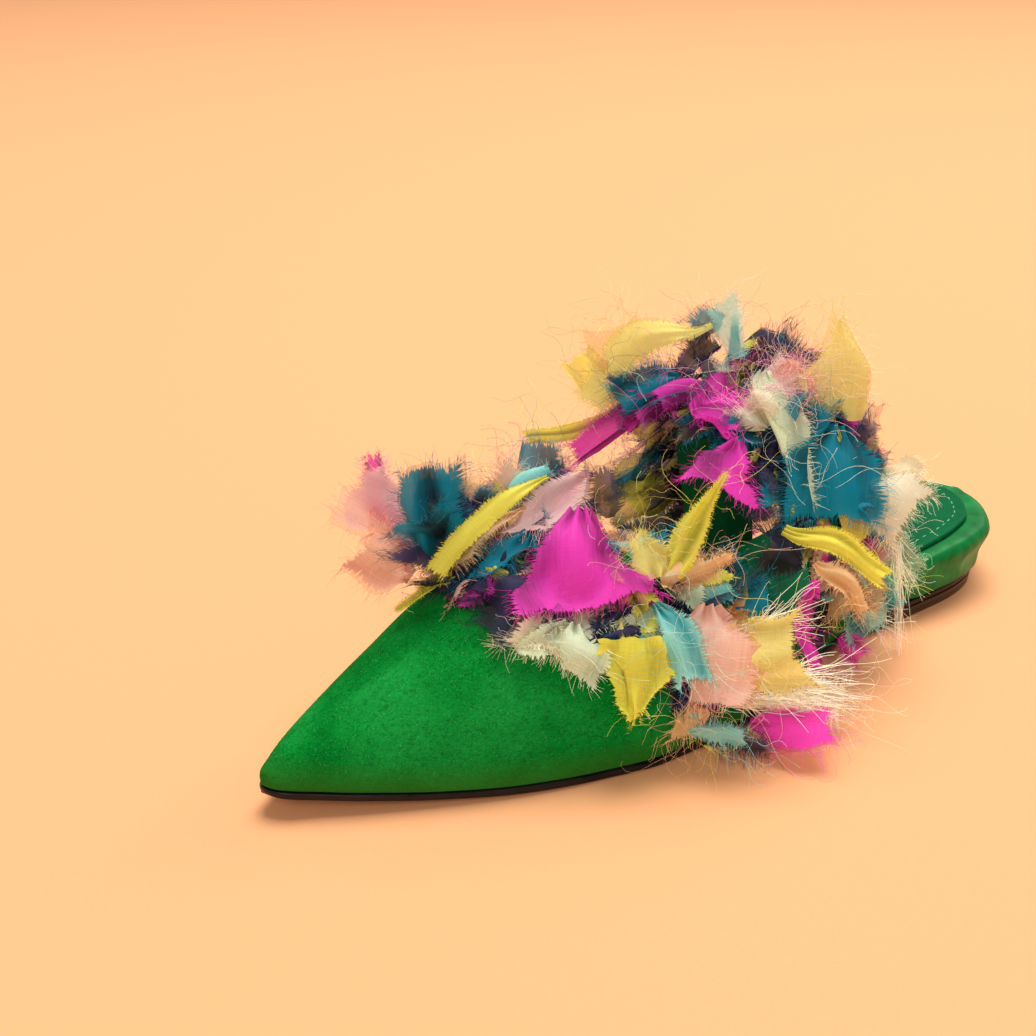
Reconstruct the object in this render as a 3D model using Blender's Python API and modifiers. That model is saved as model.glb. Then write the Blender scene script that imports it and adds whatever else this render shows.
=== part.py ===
"""A left sandal: a pointed suede vamp and a suede instep strap, both open at the sides and edged with
frayed scraps of cloth, on a wrapped wedge footbed, a thin leather outsole and a low heel.

Metres, +Z up, the floor at z = 0, the toe towards -Y and the outer side of the foot at +X.
Lengths below are in millimetres. Along the shoe, u runs from the toe tip to the back of the heel, and
round a section of the last, angle runs in degrees from the outer side (0) over the top (90) to the
inner side (180)."""
import math

import bmesh
import bpy
from mathutils import Vector

for old in list(bpy.data.objects):
    bpy.data.objects.remove(old)
shoe = bpy.data.collections.new("sandal")
bpy.context.scene.collection.children.link(shoe)

MM = 0.001
LENGTH = 268.0
MIDDLE = Vector((10.1, 136.4, 0.0))  # middle of the whole box, across and along the last
GAP = 0.3                # between curved pieces that meet
OUTSOLE = 2.2            # thickness
INSOLE = 1.4             # thickness of the padded sock at its edge
SUEDE = 1.6              # wall of the vamp and the strap
MARGIN = 0.3             # outsole edge that shows outside the upper

# The last and what it stands on, a row for each section. lateral and medial are half widths of the
# sole, sole is the height of its underside, footbed that of the rim of the footbed, and ridge and lean
# are the height and the sideways place of the highest line of the last.
LAST_COLUMNS = ("u", "lateral", "medial", "sole", "footbed", "ridge", "lean")
LAST = (
    (0.0, 0.0, 0.0, 6.0, 11.2, 11.5, 0.0),
    (3.0, 6.0, 4.0, 5.5, 10.7, 14.0, 0.0),
    (10.0, 10.1, 8.0, 4.5, 9.7, 18.5, -0.5),
    (22.0, 17.1, 13.5, 3.2, 8.4, 24.5, -1.0),
    (40.0, 26.2, 21.0, 1.5, 6.7, 32.5, -2.0),
    (60.0, 35.1, 28.0, 0.4, 5.7, 41.0, -3.0),
    (80.0, 41.2, 33.0, 0.0, 5.6, 47.5, -4.0),
    (100.0, 45.2, 35.5, 0.0, 6.2, 53.5, -4.0),
    (120.0, 45.2, 34.5, 0.0, 7.6, 60.5, -3.0),
    (145.0, 40.6, 29.0, 1.2, 10.6, 70.5, -2.0),
    (170.0, 33.3, 24.5, 2.5, 13.8, 83.0, -1.0),
    (195.0, 28.3, 24.0, 3.7, 16.6, 96.0, 0.0),
    (215.0, 27.4, 25.6, 4.0, 19.0, 106.0, 0.0),
    (235.0, 26.6, 26.0, 4.0, 21.3, 112.0, 0.0),
    (252.0, 22.9, 21.6, 4.0, 22.6, 115.0, 0.0),
    (262.0, 14.4, 13.8, 4.0, 22.9, 116.0, 0.0),
    (268.0, 0.0, 0.0, 4.0, 23.0, 117.0, 0.0),
)


def turn_of(u):
    """The length as an angle, so that even steps of it crowd at the tip and at the heel."""
    return math.acos(1.0 - 2.0 * min(max(u / LENGTH, 0.0), 1.0))


TURNS = [turn_of(row[0]) for row in LAST]


def last_at(column, u):
    """A column of LAST at u, on a smooth curve that doesn't overshoot the rows."""
    values = [row[LAST_COLUMNS.index(column)] for row in LAST]
    turn = turn_of(u)
    i = max(k for k in range(len(TURNS) - 1) if TURNS[k] <= turn)
    rises = [(values[k + 1] - values[k]) / (TURNS[k + 1] - TURNS[k]) for k in range(len(TURNS) - 1)]

    def slope(k):
        if k in (0, len(TURNS) - 1):
            return rises[min(k, len(rises) - 1)]
        before, after = rises[k - 1], rises[k]
        return 0.0 if before * after <= 0.0 else 2.0 * before * after / (before + after)

    width = TURNS[i + 1] - TURNS[i]
    q = (turn - TURNS[i]) / width
    return (values[i] * (1 + 2 * q) * (1 - q) ** 2 + values[i + 1] * q * q * (3 - 2 * q)
            + width * q * (1 - q) * (slope(i) * (1 - q) - slope(i + 1) * q))


def last_point(u, angle):
    """The outside of the upper: half an ellipse on the sole, its top leaning to the inner side."""
    side = "lateral" if angle < 90.0 else "medial"
    across, up = math.cos(math.radians(angle)), math.sin(math.radians(angle))
    base = last_at("sole", u) + OUTSOLE + GAP
    x = (last_at(side, u) - MARGIN) * math.copysign(abs(across) ** 0.92, across)
    z = base + (last_at("ridge", u) - base) * up ** 0.86
    return Vector((x + last_at("lean", u) * up * up, u, z)) - MIDDLE


def last_frame(u, angle):
    """Unit vectors at a point of the last: towards the toe, towards the inner side, and outwards."""
    angle = min(max(angle, 4.0), 176.0)
    forward = (last_point(u - 0.5, angle) - last_point(u + 0.5, angle)).normalized()
    inward = (last_point(u, angle + 1.0) - last_point(u, angle - 1.0)).normalized()
    outward = inward.cross(forward).normalized()
    return forward, outward.cross(forward) * -1.0, outward


def blend(low, high, u, start, end):
    """low before start, high past end, and a smooth step between."""
    q = min(max((u - start) / (end - start), 0.0), 1.0)
    return low + (high - low) * q * q * (3 - 2 * q)


# ---- edges of the two bands, as the u of an edge at an angle round the last ----

def vamp_edge(angle):
    """The topline: highest at the instep, and swept back to the sole at both sides."""
    side = 138.0 if angle < 90.0 else 132.0
    return 97.0 + (side - 97.0) * abs(math.cos(math.radians(angle))) ** 1.7


def strap_front(angle):
    return 169.0 - 19.0 * math.sin(math.radians(angle)) ** 1.3


def strap_back(angle):
    side = 200.0 if angle < 90.0 else 196.0
    return side - (side - 177.0) * math.sin(math.radians(angle)) ** 1.3


# ---- meshes ----

def tidy(mesh):
    """Welds a mesh whose rows meet in a point and turns its faces outwards."""
    bm = bmesh.new()
    bm.from_mesh(mesh)
    bmesh.ops.remove_doubles(bm, verts=bm.verts, dist=0.00002)
    bmesh.ops.dissolve_degenerate(bm, edges=bm.edges, dist=0.00001)
    bmesh.ops.recalc_face_normals(bm, faces=bm.faces)
    if all(edge.is_manifold for edge in bm.edges) and bm.calc_volume(signed=True) < 0:
        bmesh.ops.reverse_faces(bm, faces=bm.faces)
    bm.to_mesh(mesh)
    bm.free()


def object_from(name, points, faces, material):
    """A welded mesh object in the shoe's collection, from points in millimetres."""
    mesh = bpy.data.meshes.new(name)
    mesh.from_pydata([Vector(p) * MM for p in points], [], faces)
    tidy(mesh)
    piece = bpy.data.objects.new(name, mesh)
    mesh.materials.append(material)
    shoe.objects.link(piece)
    return piece


def grid_faces(rows, columns, closed=False):
    """Quads between neighbouring rows of a grid, its last column joined to its first if closed."""
    faces = []
    for r in range(rows - 1):
        for c in range(columns if closed else columns - 1):
            d = (c + 1) % columns
            faces.append((r * columns + c, r * columns + d, (r + 1) * columns + d, (r + 1) * columns + c))
    return faces


def apply_modifiers(piece):
    """Replaces a piece's mesh with its evaluated one."""
    bpy.context.view_layer.update()
    evaluated = piece.evaluated_get(bpy.context.evaluated_depsgraph_get())
    mesh = bpy.data.meshes.new_from_object(evaluated)
    piece.modifiers.clear()
    piece.data = mesh


def wall(name, along_band, rows, angles, lift, thickness, material):
    """A wall on the last, inwards from it, or outwards from lift above it. along_band gives u from an
    angle and a share of the band's width."""
    points = []
    for r in range(rows + 1):
        for angle in angles:
            u = along_band(angle, r / rows)
            points.append(last_point(u, angle) + (last_frame(u, angle)[2] * lift if lift else Vector()))
    piece = object_from(name, points, grid_faces(rows + 1, len(angles)), material)
    if max(piece.data.polygons, key=lambda face: face.center.z).normal.z < 0:
        piece.data.flip_normals()
    shell = piece.modifiers.new("wall", "SOLIDIFY")
    shell.thickness = thickness * MM
    shell.offset = 1.0 if lift else -1.0
    shell.use_even_offset = True
    return piece


# ---- slabs that follow the outline of the sole ----

STATIONS = 40
DISHED_FROM = 40.0       # width from which a dish has its full depth
FLARE_START = 195.0
ROUNDED_FROM = 9.0       # thickness from which an edge has its full rounding


def rim_pair(turn, inset):
    """The outer and inner points of the sole's outline at a station, moved inwards by inset."""
    u = LENGTH * (1 - math.cos(turn)) / 2
    pair = []
    for side, sign in (("lateral", 1.0), ("medial", -1.0)):
        if turn < 1e-6 or turn > math.pi - 1e-6:
            pair.append(Vector((0.0, u + (inset if turn < 1 else -inset), 0.0)))
            continue
        step = 0.004
        before = LENGTH * (1 - math.cos(turn - step)) / 2
        after = LENGTH * (1 - math.cos(turn + step)) / 2
        along = Vector((last_at(side, after) - last_at(side, before), after - before)).normalized()
        pair.append(Vector((sign * (last_at(side, u) - inset * along.y), u + inset * along.x, 0.0)))
    return pair


def slab(name, rings, base_inset, bottom, top, material, start=0.0, dish=0.0):
    """A closed slab on the outline. rings are rows of inset, flare (how much further out the ring stands
    at the back of the heel), level (0 bottom, 1 top) and lift, from the underside round the edge to the
    top; dish lowers the middle line of the top. A lift shrinks where the slab is thin."""
    first = turn_of(start)
    turns = [first + (math.pi - first) * k / STATIONS for k in range(STATIONS + 1)]
    points = []
    for turn in turns:
        u = LENGTH * (1 - math.cos(turn)) / 2
        width = last_at("lateral", u) + last_at("medial", u)
        outer, inner = [], []
        for inset, flare, level, lift in rings:
            extra = min(inset, 0.2 * width) - flare * blend(0.0, 1.0, u, FLARE_START, LENGTH)
            for out, point in zip((outer, inner), rim_pair(turn, base_inset(u) + extra)):
                low, high = bottom(point.y), top(point.y)
                lift_here = lift * min(1.0, (high - low) / ROUNDED_FROM)
                out.append(Vector((point.x, point.y, low + (high - low) * level + lift_here)) - MIDDLE)
        middle = (inner[-1] + outer[-1]) / 2
        middle.z -= dish * min(1.0, width / DISHED_FROM)
        points += inner[::-1] + outer + [middle]
    columns = len(points) // len(turns)
    faces = grid_faces(len(turns), columns, closed=True)
    if start > 0:
        faces.append(tuple(range(columns)))
    return object_from(name, points, faces, material)


def sole_under(u):
    return last_at("sole", u)


def sole_top(u):
    return last_at("sole", u) + OUTSOLE


# ---- materials ----

def finish(name, colour, roughness):
    material = bpy.data.materials.new(name)
    material.use_nodes = True
    shader = material.node_tree.nodes["Principled BSDF"]
    shader.inputs["Base Color"].default_value = (*colour, 1.0)
    shader.inputs["Roughness"].default_value = roughness
    return material


SUEDE_GREEN = finish("green suede", (0.0, 0.26, 0.09), 0.95)
LINING_GREEN = finish("green lining", (0.0, 0.14, 0.05), 0.6)
WRAP_GREEN = finish("green wrap", (0.03, 0.30, 0.11), 0.5)
BLACK_LEATHER = finish("black leather", (0.01, 0.01, 0.01), 0.35)
BROWN_LEATHER = finish("brown leather", (0.16, 0.07, 0.03), 0.5)

# ---- outsole ----

slab("outsole", ((0.6, 0, 0, 0), (0, 0, 0.35, 0), (0, 0, 0.8, 0), (0.3, 0, 1, 0)), lambda u: 0.0,
     sole_under, sole_top, BLACK_LEATHER)

# ---- heel, under the back of the outsole and drawn in towards the floor ----

HEEL_START = 198.0
slab("heel", ((0.9, 0, 0, 0), (0.4, 0, 0.5, 0), (0.2, 0, 1, 0)), lambda u: 0.0, lambda u: 0.0,
     lambda u: sole_under(u) - GAP, BROWN_LEATHER, start=HEEL_START)

# ---- footbed: a board and wedge wrapped in leather, inside the upper and flush behind it ----

FOOTBED_RINGS = (
    (1.0, 0.0, 0.0, 0.0),
    (0.0, 1.0, 0.0, 1.0),
    (0.2, 2.0, 0.4, 0.0),
    (0.0, 4.2, 0.75, 0.0),
    (0.3, 4.0, 1.0, -1.7),
    (1.1, 3.4, 1.0, -0.4),
    (2.4, 2.8, 1.0, 0.0),
)


def footbed_inset(u):
    inside_upper = MARGIN + SUEDE + 2 * GAP
    return blend(inside_upper, -0.5, u, 203.0, 222.0)


slab("footbed", FOOTBED_RINGS, footbed_inset, lambda u: sole_top(u) + GAP, lambda u: last_at("footbed", u),
     WRAP_GREEN, dish=0.8)

# ---- insole sock, a ledge in from the footbed's rim ----

slab("insole", ((0, 0, 0, 0), (0, 0, 0.6, 0), (0.5, 0, 1, 0)), lambda u: blend(4.6, 3.4, u, 180.0, 240.0),
     lambda u: last_at("footbed", u) + GAP, lambda u: last_at("footbed", u) + GAP + INSOLE, LINING_GREEN,
     dish=0.7)

# ---- vamp and instep strap, walls on the last ----

ANGLES = [180.0 * k / 28 for k in range(29)]
TOE_ROWS = 22
STRAP_ROWS = 6


def tip_to_topline(angle, share):
    """Stations of the vamp, which crowd at the tip."""
    return vamp_edge(angle) * (1 - math.cos(math.pi / 2 * share))


def across_strap(angle, share):
    return strap_front(angle) + (strap_back(angle) - strap_front(angle)) * share


wall("vamp", tip_to_topline, TOE_ROWS, ANGLES, 0.0, SUEDE, SUEDE_GREEN)
wall("instep_strap", across_strap, STRAP_ROWS, ANGLES, 0.0, SUEDE, SUEDE_GREEN)

# ---- trims: a mat of cloth on each band, with the larger scraps fused on ----

# u and angle are where a scrap is sewn on. heading is its direction there, 0 to the toe, 90 to the
# inner side and -90 to the outer side; rise is its slope off the last, and curl how far it turns back.
# roll turns its end about its own length, and taper is how far it narrows to a point.
SCRAP_COLUMNS = ("u", "angle", "heading", "rise", "length", "width", "curl", "roll", "taper")
VAMP_SCRAPS = (
    (119, 11, -140, 58, 27, 9, 10, 30, 0.2),
    (133, 11, -128, 33, 24, 11, -20, 13, 0.1),
    (117, 20, -160, 35, 22, 19, -20, 7, 0),
    (111, 50, 154, 23, 32, 10, -20, 3, 0.8),
    (94, 92, 81, 66, 21, 18, 31, 29, 0),
    (86, 103, -146, 21, 32, 20, 13, 48, 0),
    (71, 104, -169, 63, 19, 10, 13, -72, 0.2),
    (85, 104, 12, 43, 30, 21, 50, -13, 0.8),
    (73, 105, -56, 44, 25, 11, -5, -25, 0),
    (96, 117, 159, 52, 29, 18, 14, -5, 0),
    (74, 118, -4, 58, 35, 21, -20, -60, 0),
    (74, 118, 5, 37, 28, 18, -20, -41, 0),
    (75, 120, -135, 85, 26, 20, 34, 82, 0.1),
    (75, 120, -52, 74, 38, 9, -16, -36, 0.4),
    (99, 120, 154, 58, 30, 18, 24, 59, 0),
    (105, 121, 113, 36, 24, 17, 22, 73, 0),
    (104, 128, 81, 62, 23, 12, 22, 37, 0.3),
    (108, 131, 168, 55, 31, 18, 47, -66, 0.8),
    (106, 135, 169, 32, 29, 24, 16, -24, 0.1),
    (92, 137, -19, 55, 24, 14, 50, 24, 0),
    (104, 140, 11, 32, 28, 13, -8, 81, 0.8),
    (99, 147, -28, 29, 26, 15, -1, 79, 0.8),
    (120, 149, -173, 54, 24.7, 12, 14, 39, 0),
    (126, 163, 138, 29, 24, 13, -20, -81, 0.2),
    (116, 165, 148, 44, 25, 16, 39, -8, 0),
)
STRAP_SCRAPS = (
    (175, 16, -56, 58, 14, 17, 49, -50, 0),
    (181, 16, -72, 31, 22, 19, 12, -52, 0),
    (192, 16, -113, 49, 23, 16, 8, 2, 0.1),
    (166, 26, -52, 62, 26, 8, 36, -40, 0.4),
    (185, 28, -118, 80, 23, 20, 37, -7, 0),
    (187, 30, -148, 30, 17, 17, -20, 36, 0),
    (162, 40, -58, 42, 35, 8, -13, 73, 0.7),
    (160, 48, -89, 74, 21, 13, 50, -12, 0.1),
    (179, 52, -46, 36, 26, 27, 50, -11, 0),
    (178, 54, 126, 40, 31, 21, 38, 39, 0.8),
    (168, 92, 131, 67, 22, 13, 5, -21, 0),
    (156, 102, 20, 61, 25, 11, 50, 70, 0.1),
    (171, 106, 37, 78, 17, 14, 16, -85, 0.1),
    (174, 106, 55, 97, 20, 8, 50, 63, 0.2),
    (163, 108, 20, 70, 19, 14, 50, -65, 0.2),
    (156, 114, -56, 68, 34, 13, -16, -32, 0),
    (176, 121, 136, 61, 26, 18, 50, 63, 0),
    (157, 122, 5, 50, 46, 6, 31, -24, 0.2),
    (174, 122, 168, 74, 20, 15, 40, 42, 0),
    (158, 126, -37, 66, 38, 12, 8, -25, 0),
    (158, 126, -136, 61, 35, 9, 50, 73, 0.1),
    (176, 131, 122, 51, 29, 19, 50, 46, 0),
    (178, 151, -169, 42, 27, 16, -3, -39, 0.3),
    (185, 152, -159, 51, 30, 17, 21, 6, 0),
    (166, 153, -8, 60, 24, 17, 46, 3, 0),
    (183, 156, -130, 70, 28, 15, 50, 23, 0),
    (188, 160, -74, 30, 29, 21, 21, -14, 0),
    (187, 163, 86, 55, 25, 15, 13, -82, 0),
    (174, 169, 22, 53, 25, 15, 33, 5, 0.8),
)
MAT = 2.0                # thickness of the mat
MAT_LIFT = 2 * GAP       # how far it lies off the band
MAT_REACH = 36.0         # how far the vamp's mat runs forward from the topline
MAT_ANGLES = [8.0 + 164.0 * k / 18 for k in range(19)]
SCRAP = 1.2              # thickness of a fused scrap
SCRAP_STEPS = 3


def vamp_mat(angle, share):
    return vamp_edge(angle) - MAT_REACH * (1 - share)


def scrap(row, material):
    """One scrap: a strip that starts inside the mat, is widest past its middle, and turns as it runs."""
    cut = dict(zip(SCRAP_COLUMNS, row))
    forward, inward, outward = last_frame(cut["u"], cut["angle"])
    heading = math.radians(cut["heading"])
    along = forward * math.cos(heading) + inward * math.sin(heading)
    level = along.cross(outward)
    point = last_point(cut["u"], cut["angle"]) + outward * (MAT_LIFT + MAT / 2)
    points = []
    for k in range(SCRAP_STEPS + 1):
        share = k / SCRAP_STEPS
        slope = math.radians(cut["rise"] - cut["curl"] * share)
        turn = math.radians(cut["roll"] * share)
        normal = outward * math.cos(slope) - along * math.sin(slope)
        across = level * math.cos(turn) + normal * math.sin(turn)
        half = cut["width"] / 2 * (0.7 + 0.9 * share - 0.6 * share * share) * (1 - 0.9 * cut["taper"] * share)
        points += [point - across * half, point, point + across * half]
        point = point + (along * math.cos(slope) + outward * math.sin(slope)) * cut["length"] / SCRAP_STEPS
    strip = object_from("scrap", points, grid_faces(SCRAP_STEPS + 1, 3), material)
    sheet = strip.modifiers.new("cloth", "SOLIDIFY")
    sheet.thickness = SCRAP * MM
    sheet.offset = 0.0
    strip.modifiers.new("flat faces", "TRIANGULATE")
    apply_modifiers(strip)
    return strip


def without_voids(mesh):
    """Removes the shells of air that crossing scraps shut in, which share no corner with the largest."""
    shape = bmesh.new()
    shape.from_mesh(mesh)
    left = set(shape.verts)
    shells = []
    while left:
        shell, edge = set(), [left.pop()]
        while edge:
            corner = edge.pop()
            shell.add(corner)
            near = {side.other_vert(corner) for side in corner.link_edges} & left
            left -= near
            edge += near
        shells.append(shell)
    shells.sort(key=len)
    bmesh.ops.delete(shape, geom=[corner for shell in shells[:-1] for corner in shell], context="VERTS")
    shape.to_mesh(mesh)
    shape.free()


def trim(name, along_band, rows, scraps, material):
    """A mat with its scraps joined on one by one."""
    mat = wall(name, along_band, rows, MAT_ANGLES, MAT_LIFT, MAT, material)
    mat.modifiers.new("flat faces", "TRIANGULATE")
    apply_modifiers(mat)
    for row in scraps:
        strip = scrap(row, material)
        join = mat.modifiers.new("join", "BOOLEAN")
        join.operation = "UNION"
        join.object = strip
        apply_modifiers(mat)
        bpy.data.objects.remove(strip)
    without_voids(mat.data)
    tidy(mat.data)


SCRAP_MIX = finish("cloth scraps", (0.55, 0.45, 0.12), 0.9)
trim("vamp_trim", vamp_mat, 4, VAMP_SCRAPS, SCRAP_MIX)
trim("strap_trim", across_strap, 3, STRAP_SCRAPS, SCRAP_MIX)
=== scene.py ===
"""A left sandal, looks: a pointed suede vamp and an instep strap edged with frayed scraps of chiffon,
on a wrapped wedge footbed, a thin leather outsole and a low heel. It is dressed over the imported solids.

Metres in the scene; the tables below are in millimetres. Along the shoe, u runs from the toe tip to the
back of the heel, and round a section of the last, angle runs in degrees from the outer side (0) over
the top (90) to the inner side (180)."""

import bmesh
import bpy
import numpy as np
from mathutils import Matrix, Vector


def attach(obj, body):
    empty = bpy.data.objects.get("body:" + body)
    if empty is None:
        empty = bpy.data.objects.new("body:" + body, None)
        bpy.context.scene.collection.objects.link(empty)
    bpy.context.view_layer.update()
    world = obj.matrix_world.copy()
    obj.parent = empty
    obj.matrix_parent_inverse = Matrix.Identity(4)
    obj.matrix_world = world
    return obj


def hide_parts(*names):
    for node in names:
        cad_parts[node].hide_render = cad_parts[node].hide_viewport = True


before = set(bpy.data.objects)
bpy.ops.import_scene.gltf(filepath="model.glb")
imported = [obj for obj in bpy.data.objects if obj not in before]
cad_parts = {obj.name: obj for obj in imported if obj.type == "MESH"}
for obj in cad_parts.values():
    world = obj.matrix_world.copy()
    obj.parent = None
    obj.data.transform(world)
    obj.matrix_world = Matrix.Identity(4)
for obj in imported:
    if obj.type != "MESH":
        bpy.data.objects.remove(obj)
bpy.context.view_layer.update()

# ==== Camera ====
# A portrait lens half a metre away, a little above the shoe and in front of its outer side.

CAMERA_PLACE = Vector((0.2996, -0.2819, 0.2334))
CAMERA_AIM = Vector((-0.0668, -0.0128, 0.0300))

eye = bpy.data.cameras.new("camera")
eye.sensor_width = 36.0
eye.lens = 53.96
camera = bpy.data.objects.new("camera", eye)
camera.location = CAMERA_PLACE
camera.rotation_euler = (CAMERA_AIM - CAMERA_PLACE).to_track_quat("-Z", "Y").to_euler()
bpy.context.scene.collection.objects.link(camera)
bpy.context.scene.camera = camera

# ==== Table and lamps ====
# A plain pale board runs out of sight under the shoe. A wide soft lamp hangs high above, a little towards
# the heel, one on the camera's side fills the shade, and one behind the heel lights the loose threads.

MM = 0.001
BOARD_HALF = 6.0         # metres from its middle to its edges
BOARD_TOP = -0.0002      # a hair under the sole
FLOOR_COLOUR = (0.88, 0.430, 0.200)
FLOOR_GRAIN = (0.86, 0.420, 0.194)
ROOM_COLOUR = (1.0, 0.90, 0.80)
ROOM_STRENGTH = 0.28
LAMPS = (                # name, place, aim, size, watts, colour
    ("key", (-0.55, 0.60, 2.90), (0.0, -0.02, 0.03), 1.90, 96.0, (1.0, 0.96, 0.91)),
    ("front", (1.7, -1.7, 1.7), (0.0, -0.03, 0.03), 1.60, 32.0, (1.0, 0.95, 0.90)),
    ("back", (-0.6, 2.4, 1.9), (0.0, 0.02, 0.04), 1.20, 18.0, (1.0, 0.96, 0.92)),
)


def blank_material(name, roughness, specular=0.5, sheen=0.0, coat=0.0):
    """A new material: its node tree and its shader, with the even finishes set on the shader itself."""
    material = bpy.data.materials.new(name)
    material.use_nodes = True
    tree = material.node_tree
    shader = tree.nodes["Principled BSDF"]
    shader.inputs["Roughness"].default_value = roughness
    shader.inputs["Specular IOR Level"].default_value = specular
    shader.inputs["Sheen Weight"].default_value = sheen
    shader.inputs["Coat Weight"].default_value = coat
    return material, tree, shader


def feed(tree, socket, value):
    """Sets a socket: links it to another socket, or gives it a plain colour or number."""
    if isinstance(value, bpy.types.NodeSocket):
        tree.links.new(value, socket)
    else:
        socket.default_value = (*value, 1.0) if isinstance(value, tuple) else value


def place_of(tree, stretch=(1.0, 1.0, 1.0), source="Object"):
    """Where a pattern is on the piece: its own coordinates or its UV map, stretched by a Mapping node."""
    where = tree.nodes.new("ShaderNodeTexCoord")
    mapping = tree.nodes.new("ShaderNodeMapping")
    mapping.inputs["Scale"].default_value = stretch
    tree.links.new(where.outputs[source], mapping.inputs["Vector"])
    return mapping.outputs["Vector"]


def noise(tree, where, scale, detail=2.0, roughness=0.5, distortion=0.0):
    """A cloudy pattern from 0 to 1, with scale clouds to a unit of the place."""
    cloud = tree.nodes.new("ShaderNodeTexNoise")
    cloud.inputs["Scale"].default_value = scale
    cloud.inputs["Detail"].default_value = detail
    cloud.inputs["Roughness"].default_value = roughness
    cloud.inputs["Distortion"].default_value = distortion
    tree.links.new(where, cloud.inputs["Vector"])
    return cloud.outputs["Fac"]


def ramp(tree, value, stops):
    """Colours by value: stops are pairs of a value and its colour, or its grey as one number."""
    colours = tree.nodes.new("ShaderNodeValToRGB")
    band = colours.color_ramp
    while len(band.elements) < len(stops):
        band.elements.new(0.5)
    for element, (at, colour) in zip(band.elements, stops):
        element.position = at
        element.color = (*colour, 1.0) if isinstance(colour, tuple) else (colour, colour, colour, 1.0)
    tree.links.new(value, colours.inputs["Fac"])
    return colours.outputs["Color"]


def mixed(tree, share, first, second, kind="MIX"):
    """One colour laid over another by a share, each a socket or a plain colour."""
    mix = tree.nodes.new("ShaderNodeMix")
    mix.data_type = "RGBA"
    mix.blend_type = kind
    for socket, value in ((mix.inputs["Factor"], share), (mix.inputs[6], first), (mix.inputs[7], second)):
        feed(tree, socket, value)
    return mix.outputs[2]


def shaded(tree, share, colour, pattern, stops):
    """A colour darkened by the greys of a pattern, as much as share says."""
    return mixed(tree, share, colour, ramp(tree, pattern, stops), "MULTIPLY")


def ranged(tree, value, low, high, at_low=0.0, at_high=1.0):
    """A value spread from the range low to high over the range at_low to at_high."""
    spread = tree.nodes.new("ShaderNodeMapRange")
    for name, number in (("From Min", low), ("From Max", high), ("To Min", at_low), ("To Max", at_high)):
        spread.inputs[name].default_value = number
    tree.links.new(value, spread.inputs["Value"])
    return spread.outputs["Result"]


def axis_of(tree, where, axis):
    parts = tree.nodes.new("ShaderNodeSeparateXYZ")
    tree.links.new(where, parts.inputs["Vector"])
    return parts.outputs[axis]


def attribute(tree, name):
    """A number that the mesh carries at each point."""
    reader = tree.nodes.new("ShaderNodeAttribute")
    reader.attribute_name = name
    return reader.outputs["Fac"]


def bump(tree, shader, height, depth, strength=1.0, below=None):
    """Raises and lowers the surface by a pattern, up to depth in millimetres, on top of the relief
    below. Gives the relief."""
    relief = tree.nodes.new("ShaderNodeBump")
    relief.inputs["Distance"].default_value = depth * MM
    relief.inputs["Strength"].default_value = strength
    tree.links.new(height, relief.inputs["Height"])
    if below is not None:
        tree.links.new(below, relief.inputs["Normal"])
    tree.links.new(relief.outputs["Normal"], shader.inputs["Normal"])
    return relief.outputs["Normal"]


board_finish, tree, shader = blank_material("pale board", 0.85)
grain = noise(tree, place_of(tree), 900.0, 3.0)
feed(tree, shader.inputs["Base Color"], ramp(tree, grain, ((0.3, FLOOR_GRAIN), (0.7, FLOOR_COLOUR))))

board_mesh = bpy.data.meshes.new("board")
board_corners = ((-1, -1), (1, -1), (1, 1), (-1, 1))
board_mesh.from_pydata([(x * BOARD_HALF, y * BOARD_HALF, BOARD_TOP) for x, y in board_corners], [],
                       [(0, 1, 2, 3)])
board_mesh.materials.append(board_finish)
board = bpy.data.objects.new("board", board_mesh)
bpy.context.scene.collection.objects.link(board)

for lamp_name, place, aim, size, watts, colour in LAMPS:
    lamp = bpy.data.lights.new(lamp_name, "AREA")
    lamp.shape = "DISK"
    lamp.size = size
    lamp.energy = watts
    lamp.color = colour
    stand = bpy.data.objects.new(lamp_name, lamp)
    stand.location = place
    stand.rotation_euler = (Vector(aim) - Vector(place)).to_track_quat("-Z", "Y").to_euler()
    bpy.context.scene.collection.objects.link(stand)

room = bpy.data.worlds.new("room")
room.use_nodes = True
around = room.node_tree.nodes["Background"]
around.inputs["Color"].default_value = (*ROOM_COLOUR, 1.0)
around.inputs["Strength"].default_value = ROOM_STRENGTH
bpy.context.scene.world = room
bpy.context.scene.view_settings.view_transform = "Standard"      # dyes show as bright as they are set

# ==== Outsole ====
# A thin leather sole, 2.2 mm, cut a hair wider than the upper. Its edge is inked black and burnished,
# and its underside is plain brown leather, skived thin towards the edge.

LENGTH = 268.0           # of the last
MIDDLE = np.array((10.1, 136.4, 0.0))    # middle of the whole shoe on the last
GAP = 0.3                # between curved pieces that meet
OUTSOLE = 2.2            # thickness
SUEDE = 1.6              # wall of the vamp and the strap
MARGIN = 0.3             # outsole edge that shows outside the upper
WELD = 0.000012          # metres between corners that are one
SLIVER = 0.000004        # metres of an edge too short to keep

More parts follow.
